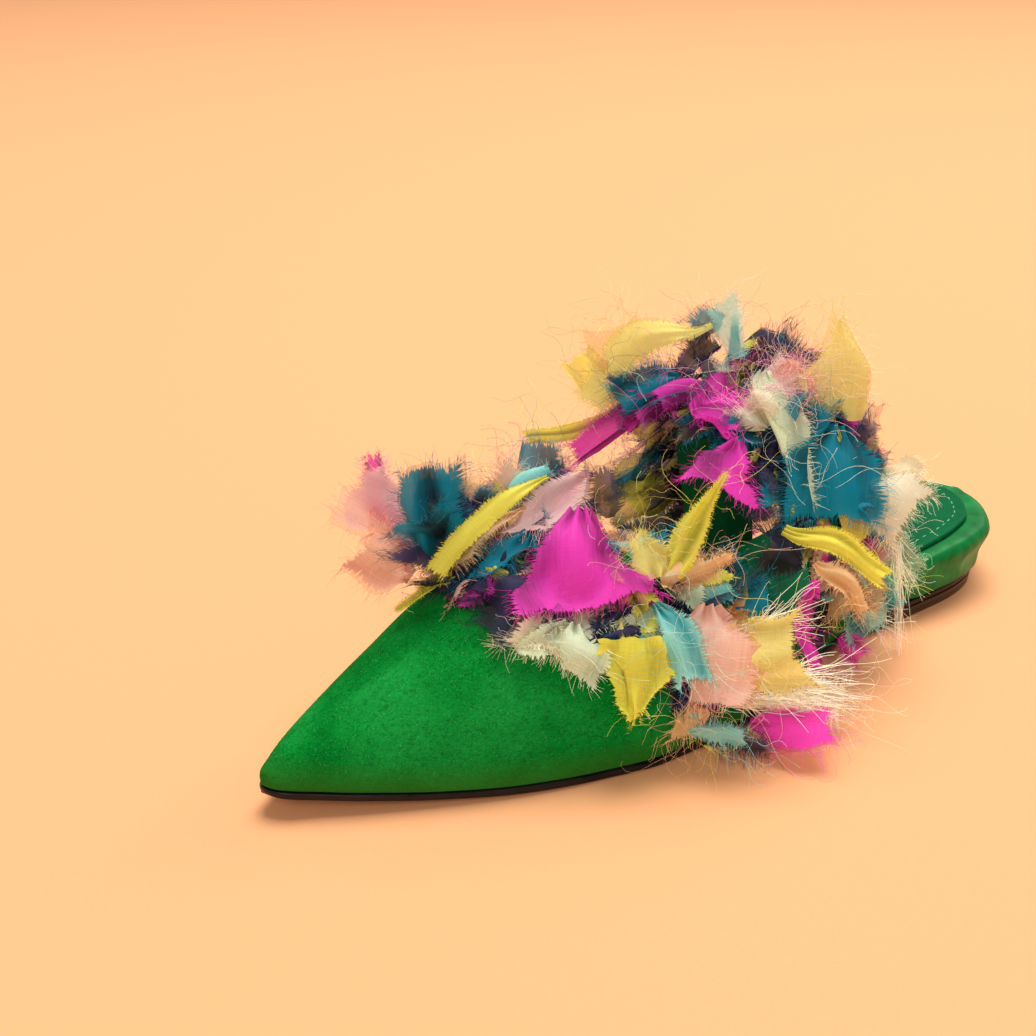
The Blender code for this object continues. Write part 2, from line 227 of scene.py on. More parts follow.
# Half widths of the sole on the outer and the inner side, heights of the sole's underside and of the
# footbed's rim, and the height and sideways place of the last's highest line.
LAST_COLUMNS = ("u", "lateral", "medial", "sole", "footbed", "ridge", "lean")
LAST = np.array((
    (0.0, 0.0, 0.0, 6.0, 11.2, 11.5, 0.0),
    (3.0, 6.0, 4.0, 5.5, 10.7, 14.0, 0.0),
    (10.0, 10.1, 8.0, 4.5, 9.7, 18.5, -0.5),
    (22.0, 17.1, 13.5, 3.2, 8.4, 24.5, -1.0),
    (40.0, 26.2, 21.0, 1.5, 6.7, 32.5, -2.0),
    (60.0, 35.1, 28.0, 0.4, 5.7, 41.0, -3.0),
    (80.0, 41.2, 33.0, 0.0, 5.6, 47.5, -4.0),
    (100.0, 45.2, 35.5, 0.0, 6.2, 53.5, -4.0),
    (120.0, 45.2, 34.5, 0.0, 7.6, 60.5, -3.0),
    (145.0, 40.6, 29.0, 1.2, 10.6, 70.5, -2.0),
    (170.0, 33.3, 24.5, 2.5, 13.8, 83.0, -1.0),
    (195.0, 28.3, 24.0, 3.7, 16.6, 96.0, 0.0),
    (215.0, 27.4, 25.6, 4.0, 19.0, 106.0, 0.0),
    (235.0, 26.6, 26.0, 4.0, 21.3, 112.0, 0.0),
    (252.0, 22.9, 21.6, 4.0, 22.6, 115.0, 0.0),
    (262.0, 14.4, 13.8, 4.0, 22.9, 116.0, 0.0),
    (268.0, 0.0, 0.0, 4.0, 23.0, 117.0, 0.0),
))


def turn_of(u):
    """The length as an angle, so that even steps of it crowd at the tip and at the heel."""
    return np.arccos(1.0 - 2.0 * np.clip(np.asarray(u, float) / LENGTH, 0.0, 1.0))


def u_of(turn):
    return LENGTH * (1.0 - np.cos(turn)) / 2.0


LAST_TURNS = turn_of(LAST[:, 0])
LAST_STEPS = np.diff(LAST_TURNS)
LAST_RISES = np.diff(LAST, axis=0) / LAST_STEPS[:, None]
level_pairs = LAST_RISES[:-1] * LAST_RISES[1:]
safe_sums = np.where(level_pairs > 0, LAST_RISES[:-1] + LAST_RISES[1:], 1.0)
LAST_SLOPES = np.vstack((LAST_RISES[:1], np.where(level_pairs > 0, 2 * level_pairs / safe_sums, 0.0),
                         LAST_RISES[-1:]))


def last_at(column, u):
    """A column of LAST at every u, on cubic pieces whose slope at a row is the harmonic mean of the
    slopes beside it, so that they never overshoot the rows."""
    k = LAST_COLUMNS.index(column)
    turn = turn_of(u)
    i = np.clip(np.searchsorted(LAST_TURNS, turn, side="right") - 1, 0, len(LAST_TURNS) - 2)
    q = (turn - LAST_TURNS[i]) / LAST_STEPS[i]
    low, high = LAST[i, k], LAST[i + 1, k]
    return (low * (1 + 2 * q) * (1 - q) ** 2 + high * q * q * (3 - 2 * q)
            + LAST_STEPS[i] * q * (1 - q) * (LAST_SLOPES[i, k] * (1 - q) - LAST_SLOPES[i + 1, k] * q))


def width_of(u):
    return last_at("lateral", u) + last_at("medial", u)


def sole_top(u):
    return last_at("sole", u) + OUTSOLE


def blend(low, high, u, start, end):
    """low before start, high past end, and a smooth step between."""
    q = np.clip((u - start) / (end - start), 0.0, 1.0)
    return low + (high - low) * q * q * (3 - 2 * q)


def rim_points(turn, inset):
    """The sole's outline at each station, moved inwards along its own normal by inset: the points on
    the outer side and on the inner side."""
    step = 0.004
    before, after = u_of(np.clip(turn - step, 0, np.pi)), u_of(np.clip(turn + step, 0, np.pi))
    u = u_of(turn)
    sides = []
    for side, sign in (("lateral", 1.0), ("medial", -1.0)):
        run = np.stack((last_at(side, after) - last_at(side, before), after - before))
        run /= np.linalg.norm(run, axis=0)
        half = np.maximum(last_at(side, u) - inset * run[1], 0.0)
        sides.append(np.stack((sign * half, u + inset * run[0]), axis=1))
    return sides


def grid_faces(rows, columns, closed=False, start=0):
    """Quads between neighbouring points of a grid, its last column joined to its first if closed."""
    across = columns if closed else columns - 1
    r, c = np.meshgrid(np.arange(rows - 1), np.arange(across), indexing="ij")
    d = (c + 1) % columns
    quads = np.stack((r * columns + c, r * columns + d, (r + 1) * columns + d, (r + 1) * columns + c), -1)
    return quads.reshape(-1, 4) + start


def piece_from(name, points, faces, finishes, face_finish=None, values=None, uv=None, crease=40.0,
               closed=True):
    """A mesh piece on the root body, from points in millimetres on the last. In a closed piece, points
    that meet are welded and faces are turned outwards. values are numbers that each point carries, and
    uv is its place on the weave."""
    mesh = bpy.data.meshes.new(name)
    face_lists = faces if isinstance(faces, list) else faces.tolist()
    mesh.from_pydata(((np.asarray(points) - MIDDLE) * MM).tolist(), [], face_lists)
    for finish in finishes:
        mesh.materials.append(finish)
    if face_finish is not None:
        mesh.polygons.foreach_set("material_index", np.asarray(face_finish, np.int32))
    for key, numbers in (values or {}).items():
        mesh.attributes.new(key, "FLOAT", "POINT").data.foreach_set("value", np.asarray(numbers, np.float32))
    if uv is not None:
        corners = np.zeros(len(mesh.loops), np.int32)
        mesh.loops.foreach_get("vertex_index", corners)
        mesh.uv_layers.new(name="cloth").data.foreach_set("uv", np.asarray(uv, np.float32)[corners].ravel())
    if closed:
        work = bmesh.new()
        work.from_mesh(mesh)
        bmesh.ops.remove_doubles(work, verts=work.verts, dist=WELD)
        bmesh.ops.dissolve_degenerate(work, edges=work.edges, dist=SLIVER)
        bmesh.ops.recalc_face_normals(work, faces=work.faces)
        if work.calc_volume(signed=True) < 0:
            bmesh.ops.reverse_faces(work, faces=work.faces)
        work.to_mesh(mesh)
        work.free()
    mesh.shade_smooth()
    mesh.set_sharp_from_angle(angle=np.radians(crease))
    piece = bpy.data.objects.new(name, mesh)
    bpy.context.scene.collection.objects.link(piece)
    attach(piece, "root")
    return piece


def rounded(rings, count):
    """Rings of a profile on a smooth curve through the given ones, count steps between neighbours."""
    rings = np.array(rings, float)
    padded_rings = np.vstack((rings[:1], rings, rings[-1:]))
    steps = np.linspace(0, 1, count, endpoint=False)[:, None]
    spans = []
    for a, b, c, d in zip(padded_rings, padded_rings[1:], padded_rings[2:], padded_rings[3:]):
        spans.append(b + 0.5 * steps * (c - a + steps * (2 * a - 5 * b + 4 * c - d
                                                         + steps * (3 * (b - c) + d - a))))
    return np.vstack(spans + [rings[-1:]])


STATIONS = 260
DISHED_FROM = 40.0       # width from which a dish has its full depth
DENTED_FROM = 30.0       # width from which the dents have their full depth
FLARE_START = 195.0
ROUNDED_FROM = 9.0       # thickness from which an edge has its full rounding


def slab(name, rings, base_inset, bottom, top, finishes, finish_of_ring=None, start=0.0, dish=0.0,
         across=12, dents=None, pad=None):
    """A closed slab on the sole's outline. rings are rows of inset, flare, level from 0 at the bottom
    to 1 at the top, and lift, from the underside round the edge to the top. Each station carries this
    profile up the outer side, over the top, down the inner side and back under. dish lowers the top's
    middle, and dents and pad push the edge inwards and the top upwards by amounts in millimetres."""
    turn = np.linspace(float(turn_of(start)), np.pi, STATIONS + 1)
    u = u_of(turn)
    width = width_of(u)
    outer, inner = [], []
    for inset, flare, level, lift in rings:
        extra = np.minimum(inset, 0.2 * width) - flare * blend(0.0, 1.0, u, FLARE_START, LENGTH)
        sides = rim_points(turn, base_inset(u) + extra)
        for sign, out, flat in ((1.0, outer, sides[0]), (-1.0, inner, sides[1])):
            low, high = bottom(flat[:, 1]), top(flat[:, 1])
            z = low + (high - low) * level + lift * np.minimum(1.0, (high - low) / ROUNDED_FROM)
            point = np.column_stack((flat, z))
            if dents is not None:
                point[:, 0] -= sign * dents(flat[:, 1], level, sign) * np.minimum(1, width / DENTED_FROM)
            out.append(point)
    share = np.linspace(0, 1, across + 2)[1:-1]
    over = [outer[-1] * (1 - q) + inner[-1] * q for q in share]
    under = [inner[0] * (1 - q) + outer[0] * q for q in share]
    sink = np.minimum(1.0, width / DISHED_FROM)
    for q, row in zip(share, over):
        row[:, 2] -= dish * (1 - (2 * q - 1) ** 2) * sink
        if pad is not None:
            row[:, 2] += pad(row)
    columns = outer + over + inner[::-1] + under
    points = np.stack(columns, axis=1).reshape(-1, 3)
    count = len(columns)
    faces = grid_faces(len(turn), count, closed=True).tolist()
    face_finish = None
    if finish_of_ring is not None:
        n = len(rings)
        of_column = np.array([finish_of_ring(min(k, n - 1)) if k < n + across
                              else finish_of_ring(max(2 * n + across - 1 - k, 0)) for k in range(count)])
        between = np.minimum(of_column, np.roll(of_column, -1))
        face_finish = np.tile(between, len(turn) - 1).tolist()
    if start > 0:
        faces.append(list(range(count)))
        if face_finish is not None:
            face_finish.append(0)
    return piece_from(name, points, faces, finishes, face_finish)


ink, tree, shader = blank_material("burnished black edge", 0.38, specular=0.22)
where = place_of(tree)
smears = noise(tree, where, 160.0, 4.0, 0.6)
feed(tree, shader.inputs["Base Color"],
     ramp(tree, smears, ((0.35, (0.004, 0.003, 0.003)), (0.65, (0.014, 0.008, 0.007)))))
feed(tree, shader.inputs["Roughness"], ramp(tree, smears, ((0.3, 0.22), (0.7, 0.42))))
bump(tree, shader, noise(tree, where, 700.0, 3.0), 0.08, 0.6)

sole_leather, tree, shader = blank_material("brown sole leather", 0.55)
where = place_of(tree)
mottle = noise(tree, where, 70.0, 5.0, 0.6)
pores = noise(tree, where, 1400.0, 2.0)
tone = ramp(tree, mottle, ((0.3, (0.16, 0.07, 0.03)), (0.7, (0.30, 0.15, 0.07))))
feed(tree, shader.inputs["Base Color"], shaded(tree, 0.35, tone, pores, ((0.35, 0.3), (0.6, 1.0))))
bump(tree, shader, pores, 0.1, 0.7)

OUTSOLE_RINGS = ((1.1, 0, 0, 0), (0.55, 0, 0.04, 0), (0.12, 0, 0.2, 0), (0, 0, 0.36, 0), (-0.05, 0, 0.55, 0),
                 (0, 0, 0.78, 0), (0.1, 0, 0.92, 0), (0.35, 0, 1, 0))
outsole = slab("leather_outsole", OUTSOLE_RINGS, lambda u: 0.0, lambda u: last_at("sole", u), sole_top,
               [sole_leather, ink], finish_of_ring=lambda k: 0 if k < 1 else 1)
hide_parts("outsole")

# ==== Heel ====
# A low stacked heel of two leather lifts under the back of the outsole, drawn in towards the floor.
# It is dark brown, darker to nearly black towards its front and tan at the back.

HEEL_START = 198.0
BLACK_TO_TAN_FADES = (0.060, 0.128)             # metres behind the middle, from black to tan

stack, tree, shader = blank_material("dark brown heel stack", 0.5, coat=0.1)
where = place_of(tree)
# The colour runs from nearly black at the heel's front to tan at its back.
from_front = ranged(tree, axis_of(tree, where, "Y"), *BLACK_TO_TAN_FADES)
front_to_back_brown = ramp(tree, from_front, ((0.0, (0.012, 0.008, 0.006)), (0.6, (0.06, 0.022, 0.009)),
                                (1.0, (0.13, 0.055, 0.024))))
streaks = noise(tree, place_of(tree, (1.0, 1.0, 12.0)), 150.0, 3.0, 0.6)
feed(tree, shader.inputs["Base Color"], shaded(tree, 0.6, front_to_back_brown, streaks, ((0.3, 0.45), (0.7, 1.0))))
bump(tree, shader, streaks, 0.12, 0.8)

HEEL_RINGS = ((0.9, 0, 0, 0), (0.62, 0, 0.12, 0), (0.5, 0, 0.3, 0), (0.42, 0, 0.44, 0), (0.62, 0, 0.5, 0),
              (0.38, 0, 0.56, 0), (0.3, 0, 0.75, 0), (0.2, 0, 1, 0))
heel = slab("stacked_heel", HEEL_RINGS, lambda u: 0.0, np.zeros_like, lambda u: last_at("sole", u) - GAP,
            [stack], start=HEEL_START)
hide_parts("heel")

# ==== Footbed ====
# A board and a low wedge wrapped in green satin-faced leather, pulled under and glued. It stands inside
# the upper, and is flush with it behind the strap, where its rim is round and its side slopes in.

FOOTBED_RINGS = ((1.0, 0.0, 0.0, 0.0), (0.0, 1.0, 0.0, 1.0), (0.2, 2.0, 0.4, 0.0), (0.0, 4.2, 0.75, 0.0),
                 (0.3, 4.0, 1.0, -1.7), (1.1, 3.4, 1.0, -0.4), (2.4, 2.8, 1.0, 0.0))
FOOT_SHADE_FADES = (0.006, 0.011)        # metres up, from the painted shade at the wrap's foot to its open side
WRAP_CREASES = (         # u, side, width, depth: pinches where the wrap is drawn round the curve
    (226.0, 1, 0.7, 0.35), (218.0, 1, 1.4, 0.18), (243.0, 1, 1.6, 0.2), (250.0, 1, 1.0, 0.25),
    (240.0, -1, 1.2, 0.3), (252.0, -1, 1.0, 0.3), (228.0, -1, 1.5, 0.2), (258.0, 1, 0.8, 0.3),
    (259.0, -1, 0.8, 0.3),
)


def footbed_inset(u):
    return blend(MARGIN + SUEDE + 2 * GAP, -0.5, u, 203.0, 222.0)


def wrap_dents(u, level, sign):
    """Narrow valleys down the side, each a bell curve in u, deepest at half height."""
    depth = np.zeros_like(u)
    for at, side, width, deep in WRAP_CREASES:
        if side == sign:
            depth += deep * np.exp(-(((u - at - 3.0 * level) / width) ** 2))
    return depth * np.sin(np.pi * np.clip(level * 0.9 + 0.1, 0, 1)) ** 0.7


wrap, tree, shader = blank_material("green satin wrap", 0.55, specular=0.18)
where = place_of(tree)
patches = noise(tree, where, 95.0, 3.0, 0.55, 0.4)
threads = noise(tree, place_of(tree, (1.0, 1.0, 6.0)), 900.0, 2.0)
# Random patches, lighter where the roughness ramp below makes them glossier: partly the satin's own tone,
# partly painted sheen.
patch_tone_sheen_and_shade = ramp(tree, patches, ((0.30, (0.0, 0.11, 0.022)), (0.52, (0.0, 0.20, 0.040)),
                             (0.72, (0.03, 0.31, 0.085))))
# Painted shade: the wrap's colour darkens towards its foot, by height.
patch_tone_sheen_and_shade = mixed(tree, ranged(tree, axis_of(tree, where, "Z"), *FOOT_SHADE_FADES), (0.0, 0.13, 0.025), patch_tone_sheen_and_shade)
feed(tree, shader.inputs["Base Color"], shaded(tree, 0.3, patch_tone_sheen_and_shade, threads, ((0.3, 0.6), (0.65, 1.0))))
feed(tree, shader.inputs["Roughness"], ramp(tree, patches, ((0.3, 0.55), (0.7, 0.32))))
bump(tree, shader, threads, 0.06, 0.6)

footbed = slab("wrapped_footbed", rounded(FOOTBED_RINGS, 5), footbed_inset, lambda u: sole_top(u) + GAP,
               lambda u: last_at("footbed", u), [wrap], dish=0.8, dents=wrap_dents)
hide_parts("footbed")

# ==== Sock ====
# A deep green leather sock on thin foam lies a ledge in from the footbed's rim. It is topstitched all
# round, and a soft pad under it swells at the heel.

SOCK = 1.4
SOCK_STITCH_IN = 4.0     # how far the stitches lie inside the sock's edge
SOCK_DISH = 0.7          # how much lower its middle lies
STITCH = 1.6             # length of a stitch
STITCH_GAP = 2.0         # before the first stitch
STITCH_SUNK = 0.25       # depth of its ends
PAD_HIGH = 0.55
PAD_MIDDLE = 226.0       # u of its middle
PAD_REACH = (0.62, 27.0)                 # across, as a share of the sock's half width, and along


def sock_inset(u):
    return blend(4.6, 3.4, u, 180.0, 240.0)


def sock_top(u):
    return last_at("footbed", u) + GAP + SOCK


def heel_pad(row):
    """A low swelling whose edge draws an oval at the heel: level inside, and a smooth step down at it."""
    x, u = row[:, 0], row[:, 1]
    centre = (last_at("lateral", u) - last_at("medial", u)) / 2
    half = np.maximum(width_of(u) / 2 * PAD_REACH[0], 1.0)
    far = np.hypot((x - centre) / half, (u - PAD_MIDDLE) / PAD_REACH[1])
    return PAD_HIGH * blend(1.0, 0.0, far, 0.86, 1.04)


def leather(name, roughness, specular, cloud_scale, grain_scale, deep, pale, depth, gloss=None):
    """Smooth dyed leather: two shades in soft clouds, darkened and dented by a fine grain. gloss is the
    roughness in the grain's valleys and on its peaks, where it isn't even."""
    finish, tree, shader = blank_material(name, roughness, specular)
    where = place_of(tree)
    grain = noise(tree, where, grain_scale, 3.0, 0.6)
    shade = ramp(tree, noise(tree, where, cloud_scale, 3.0), ((0.3, deep), (0.7, pale)))
    feed(tree, shader.inputs["Base Color"], shaded(tree, 0.3, shade, grain, ((0.3, 0.6), (0.6, 1.0))))
    if gloss:
        feed(tree, shader.inputs["Roughness"], ramp(tree, grain, ((0.3, gloss[0]), (0.7, gloss[1]))))
    bump(tree, shader, grain, depth, 0.5)
    return finish


sock_leather = leather("deep green sock leather", 0.55, 0.06, 60.0, 1100.0, (0.0, 0.095, 0.032),
                       (0.0, 0.150, 0.050), 0.1, gloss=(0.62, 0.48))

sock = slab("heel_to_toe_sock", ((0, 0, 0, 0), (0, 0, 0.45, 0), (0.12, 0, 0.75, 0), (0.4, 0, 0.94, 0),
                                 (0.9, 0, 1, 0)), sock_inset, lambda u: last_at("footbed", u) + GAP,
            sock_top, [sock_leather], dish=SOCK_DISH, across=40, pad=heel_pad)
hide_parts("insole")


def tubes(paths, radii, sides=3):
    """Closed tapering threads: paths is threads x points x 3, radii has one row for each thread. Every
    point carries a small ring of sides corners across the path, and the two ends are capped. Gives the
    points, the faces, and for each point the share of the way along."""
    count, steps = paths.shape[:2]
    run = np.gradient(paths, axis=1)
    run /= np.maximum(np.linalg.norm(run, axis=2, keepdims=True), 1e-9)
    steady = np.where(np.abs(run[:, :1, 2:3]) > 0.8, np.array((1.0, 0.0, 0.0)), np.array((0.0, 0.0, 1.0)))
    one = np.cross(run, steady)
    one /= np.maximum(np.linalg.norm(one, axis=2, keepdims=True), 1e-9)
    two = np.cross(run, one)
    around = 2 * np.pi * np.arange(sides) / sides
    ring = (one[:, :, None] * np.cos(around)[None, None, :, None]
            + two[:, :, None] * np.sin(around)[None, None, :, None])
    points = paths[:, :, None] + ring * radii[:, :, None, None]
    base = np.arange(count)[:, None] * steps * sides
    quads = (grid_faces(steps, sides, closed=True) + base[:, None]).reshape(-1, 4)
    first = base + np.arange(sides)[::-1]
    final = base + (steps - 1) * sides + np.arange(sides)
    faces = quads.tolist() + first.tolist() + final.tolist()
    share = np.broadcast_to(np.linspace(0, 1, steps)[None, :, None], (count, steps, sides))
    return points.reshape(-1, 3), faces, share.reshape(-1)


def stitches_along(line):
    """Stitches in a row along a line of points: each is four points, and its ends are on the line."""
    run = np.concatenate(([0.0], np.cumsum(np.linalg.norm(np.diff(line, axis=0), axis=1))))
    starts = np.arange(STITCH_GAP, run[-1] - STITCH, STITCH + STITCH_GAP)
    at = starts[:, None] + np.linspace(0, STITCH, 4)[None]
    return np.stack([np.interp(at, run, line[:, k]) for k in range(3)], axis=-1)


def stitch_piece(name, paths, radius):
    points, faces, _ = tubes(paths, np.full(paths.shape[:2], radius), sides=6)
    return piece_from(name, points, faces, [thread_finish], closed=False)


thread_finish, tree, shader = blank_material("pale green thread", 0.5)
twist = tree.nodes.new("ShaderNodeTexWave")
twist.inputs["Scale"].default_value = 700.0
tree.links.new(place_of(tree), twist.inputs["Vector"])
feed(tree, shader.inputs["Base Color"],
     ramp(tree, twist.outputs["Fac"], ((0.2, (0.10, 0.34, 0.14)), (0.8, (0.24, 0.52, 0.26)))))

ring_turn = np.linspace(0.35, np.pi - 0.02, 400)
outer_line, inner_line = rim_points(ring_turn, sock_inset(u_of(ring_turn)) + SOCK_STITCH_IN)
stitch_line = np.vstack((outer_line, inner_line[::-1]))
across_share = SOCK_STITCH_IN / np.maximum(width_of(stitch_line[:, 1]), 8.0)
stitch_line = np.column_stack((stitch_line, sock_top(stitch_line[:, 1]) + 0.04
                               - SOCK_DISH * 4 * across_share * (1 - across_share)))
paths = stitches_along(stitch_line)
paths[:, (0, 3), 2] -= STITCH_SUNK
sock_stitches = stitch_piece("sock_stitches", paths, 0.22)

# ==== Vamp ====
# Emerald suede over a thin green lining, cut in one piece and lasted over the toe. It is pulled in
# under its lower edge, and its topline rises to the instep and sweeps back to the sole at both sides.

VAMP_TOP = 97.0          # u of the topline over the instep
VAMP_SIDES = (138.0, 132.0)              # and at the sole on the outer and the inner side
FEATHER_HIGH = 1.0       # height over which the suede is drawn in at its lower edge
FEATHER_IN = 0.7
LIP = 0.7                # rounding of a cut edge
FULL_ACROSS, FULL_UP = 0.92, 0.86        # powers that make the last's section fuller than an ellipse


def upper_base(u):
    return sole_top(u) + GAP


def last_point(u, angle):
    """The outside of the upper: half an ellipse standing on the sole, fuller than a true one, whose
    highest line leans to the inner side."""
    u, angle = np.broadcast_arrays(np.asarray(u, float), np.asarray(angle, float))
    across, up = np.cos(np.radians(angle)), np.maximum(np.sin(np.radians(angle)), 0.0)
    half = np.maximum(np.where(angle < 90.0, last_at("lateral", u), last_at("medial", u)) - MARGIN, 0.0)
    base = upper_base(u)
    x = half * np.sign(across) * np.abs(across) ** FULL_ACROSS + last_at("lean", u) * up * up
    return np.stack((x, u, base + (last_at("ridge", u) - base) * up ** FULL_UP), axis=-1)


def unit(vectors):
    return vectors / np.maximum(np.linalg.norm(vectors, axis=-1, keepdims=True), 1e-9)


def last_frame(u, angle):
    """Unit vectors at points of the last: towards the toe, towards the inner side, and outwards."""
    angle = np.clip(angle, 4.0, 176.0)
    u = np.clip(u, 1.0, LENGTH - 1.0)
    forward = unit(last_point(u - 0.5, angle) - last_point(u + 0.5, angle))
    inward = unit(last_point(u, angle + 1.0) - last_point(u, angle - 1.0))
    outward = unit(np.cross(inward, forward))
    return forward, unit(np.cross(forward, outward)), outward


def vamp_edge(angle):
    """The topline: highest at the instep, and swept back to the sole at both sides."""
    side = np.where(np.asarray(angle) < 90.0, *VAMP_SIDES)
    return VAMP_TOP + (side - VAMP_TOP) * np.abs(np.cos(np.radians(angle))) ** 1.7


def lip_drop(distance):
    """How far a rounded edge has fallen at a distance from it: a quarter circle."""
    near = np.clip(1.0 - distance / LIP, 0.0, 1.0)
    return LIP * (1.0 - np.sqrt(1.0 - near * near))


def band(name, u, angle, edge_distance, finishes, waves):
    """A wall on the last from its grid of u and angle: the outside, the inside a wall's thickness in,
    and a border round both. The cut edges are rounded, the suede is drawn in at its foot, and waves
    is a gentle unevenness in millimetres."""
    outward = last_frame(u, angle)[2]
    outside = last_point(u, angle)
    high = outside[..., 2] - upper_base(u)
    foot = FEATHER_IN * np.exp(-((high / FEATHER_HIGH) ** 2))
    outside[..., 0] -= np.sign(outside[..., 0]) * np.minimum(foot, np.abs(outside[..., 0]))
    thick = SUEDE * blend(0.2, 1.0, u, 0.0, 9.0)
    drop = np.minimum(lip_drop(edge_distance), thick * 0.45)
    inside = outside - outward * (thick - drop)[..., None]
    outside = outside + outward * (waves - drop)[..., None]
    rows, columns = u.shape
    grid = np.arange(rows * columns).reshape(rows, columns)
    far = grid + rows * columns
    faces = [grid_faces(rows, columns), grid_faces(rows, columns, start=rows * columns)]
    for edge, other in ((grid[0], far[0]), (grid[-1], far[-1]), (grid[:, 0], far[:, 0]),
                        (grid[:, -1], far[:, -1])):
        faces.append(np.stack((edge[:-1], edge[1:], other[1:], other[:-1]), -1))
    face_finish = np.concatenate([np.full(len(f), k) for f, k in zip(faces, (0, 1, 1, 1, 1, 1))])
    return piece_from(name, np.vstack((outside.reshape(-1, 3), inside.reshape(-1, 3))), np.vstack(faces),
                      finishes, face_finish, values={"height": np.tile(high.ravel(), 2)})


suede, tree, shader = blank_material("emerald suede", 0.95, specular=0.04, sheen=0.015)
shader.inputs["Sheen Roughness"].default_value = 0.45
shader.inputs["Sheen Tint"].default_value = (0.45, 0.95, 0.5, 1.0)
where = place_of(tree)
nap = noise(tree, where, 34.0, 3.0, 0.5, 0.6)
brushed = noise(tree, place_of(tree, (1.0, 0.45, 1.0)), 150.0, 3.0, 0.6)
fibre = noise(tree, place_of(tree, (1.0, 0.6, 1.0)), 1050.0, 3.0, 0.7, 1.2)
fleck = noise(tree, where, 2200.0, 2.0, 0.7)
green = ramp(tree, nap, ((0.30, (0.0, 0.165, 0.018)), (0.50, (0.0, 0.240, 0.027)),
                         (0.70, (0.008, 0.325, 0.050))))
green = shaded(tree, 0.35, green, brushed, ((0.3, 0.55), (0.7, 1.0)))
green = shaded(tree, 0.8, green, fibre, ((0.36, (0.40, 0.46, 0.40)), (0.5, 0.85), (0.66, 1.0)))
green = mixed(tree, ranged(tree, fleck, 0.60, 0.74, 0.0, 0.5), green, (0.12, 0.50, 0.16))
foot_shade = ranged(tree, attribute(tree, "height"), 0.5, 9.0, 0.75, 0.0)
feed(tree, shader.inputs["Base Color"], mixed(tree, foot_shade, green, (0.03, 0.15, 0.012)))
coarse = bump(tree, shader, brushed, 0.25, 0.35)
bump(tree, shader, fibre, 0.16, 0.75, below=coarse)

lining = leather("green lining leather", 0.62, 0.2, 70.0, 1300.0, (0.0, 0.095, 0.026),
                 (0.0, 0.155, 0.045), 0.08)

tip_to_edge = np.concatenate((np.linspace(0.0, 0.990, 150), (0.9925, 0.9945, 0.9962, 0.9976, 0.9988, 1.0)))
round_section = np.degrees(np.arccos(np.linspace(1.0, -1.0, 133)))
round_section = 0.5 * round_section + 0.5 * np.linspace(0.0, 180.0, 133)
share, angle = np.meshgrid(tip_to_edge, round_section, indexing="ij")
edge = vamp_edge(angle)
u = edge * (1.0 - np.cos(np.pi / 2 * share))
waves = 0.16 * np.sin(u / 9.0 + angle / 31.0) * np.sin(angle / 17.0 - u / 23.0)
waves = waves * blend(0.0, 1.0, u, 12.0, 40.0)
vamp = band("suede_vamp", u, angle, edge - u, [suede, lining], waves)
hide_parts("vamp")

# ==== Instep strap ====
# A band of the same suede and lining, 27 mm wide over the instep and wider at the sole, lasted in at
# both sides. A row of stitches holds its lining to the sock.

STRAP_FRONT = (169.0, 150.0)             # u of its front edge at the sole and over the instep
STRAP_BACK = 177.0                       # u of its back edge over the instep
STRAP_SIDES = (200.0, 196.0)             # and at the sole on the outer and the inner side
LINING_STITCHES = (172.0, 197.0)         # from u to u, on both sides
LINING_STITCH_HIGH = 2.4                 # above the sock


def strap_front(angle):
    return STRAP_FRONT[0] - (STRAP_FRONT[0] - STRAP_FRONT[1]) * np.sin(np.radians(angle)) ** 1.3


def strap_back(angle):
    side = np.where(np.asarray(angle) < 90.0, *STRAP_SIDES)
    return side - (side - STRAP_BACK) * np.maximum(np.sin(np.radians(angle)), 0.0) ** 1.3


across_band = np.concatenate(((0.0, 0.004, 0.009, 0.016, 0.026), np.linspace(0.05, 0.95, 26),
                              (0.974, 0.984, 0.991, 0.996, 1.0)))
share, angle = np.meshgrid(across_band, round_section, indexing="ij")
front, back = strap_front(np.clip(angle, 0, 180)), strap_back(angle)
u = front + (back - front) * share
waves = 0.2 * np.sin(angle / 14.0 + u / 8.0) * np.sin(u / 13.0)
strap = band("suede_instep_strap", u, angle, np.minimum(u - front, back - u), [suede, lining], waves)
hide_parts("instep_strap")

rows_of_stitches = []
for side, sign in (("lateral", 1.0), ("medial", -1.0)):
    at = np.linspace(*LINING_STITCHES, 200)
    high = sock_top(at) + LINING_STITCH_HIGH
    base = upper_base(at)
    up = ((high - base) / (last_at("ridge", at) - base)) ** (1 / FULL_UP)
    across = np.sqrt(1 - up * up)
    wall_in = (last_at(side, at) - MARGIN) * across ** FULL_ACROSS - SUEDE - 0.05
    stitch = stitches_along(np.column_stack((sign * wall_in + last_at("lean", at) * up * up, at, high)))
    stitch[:, (0, 3), 0] += sign * 0.3
    rows_of_stitches.append(stitch)
paths = np.vstack(rows_of_stitches)
lining_stitches = stitch_piece("lining_stitches", paths, 0.2)

# ==== Trim of the vamp ====
# Strips torn from thin dyed chiffon, 8 to 48 mm long, are gathered at one end and sewn close together
# along the vamp's topline. Their edges have frayed into combs of threads, and long single threads have
# worked loose and curl over the cloth.

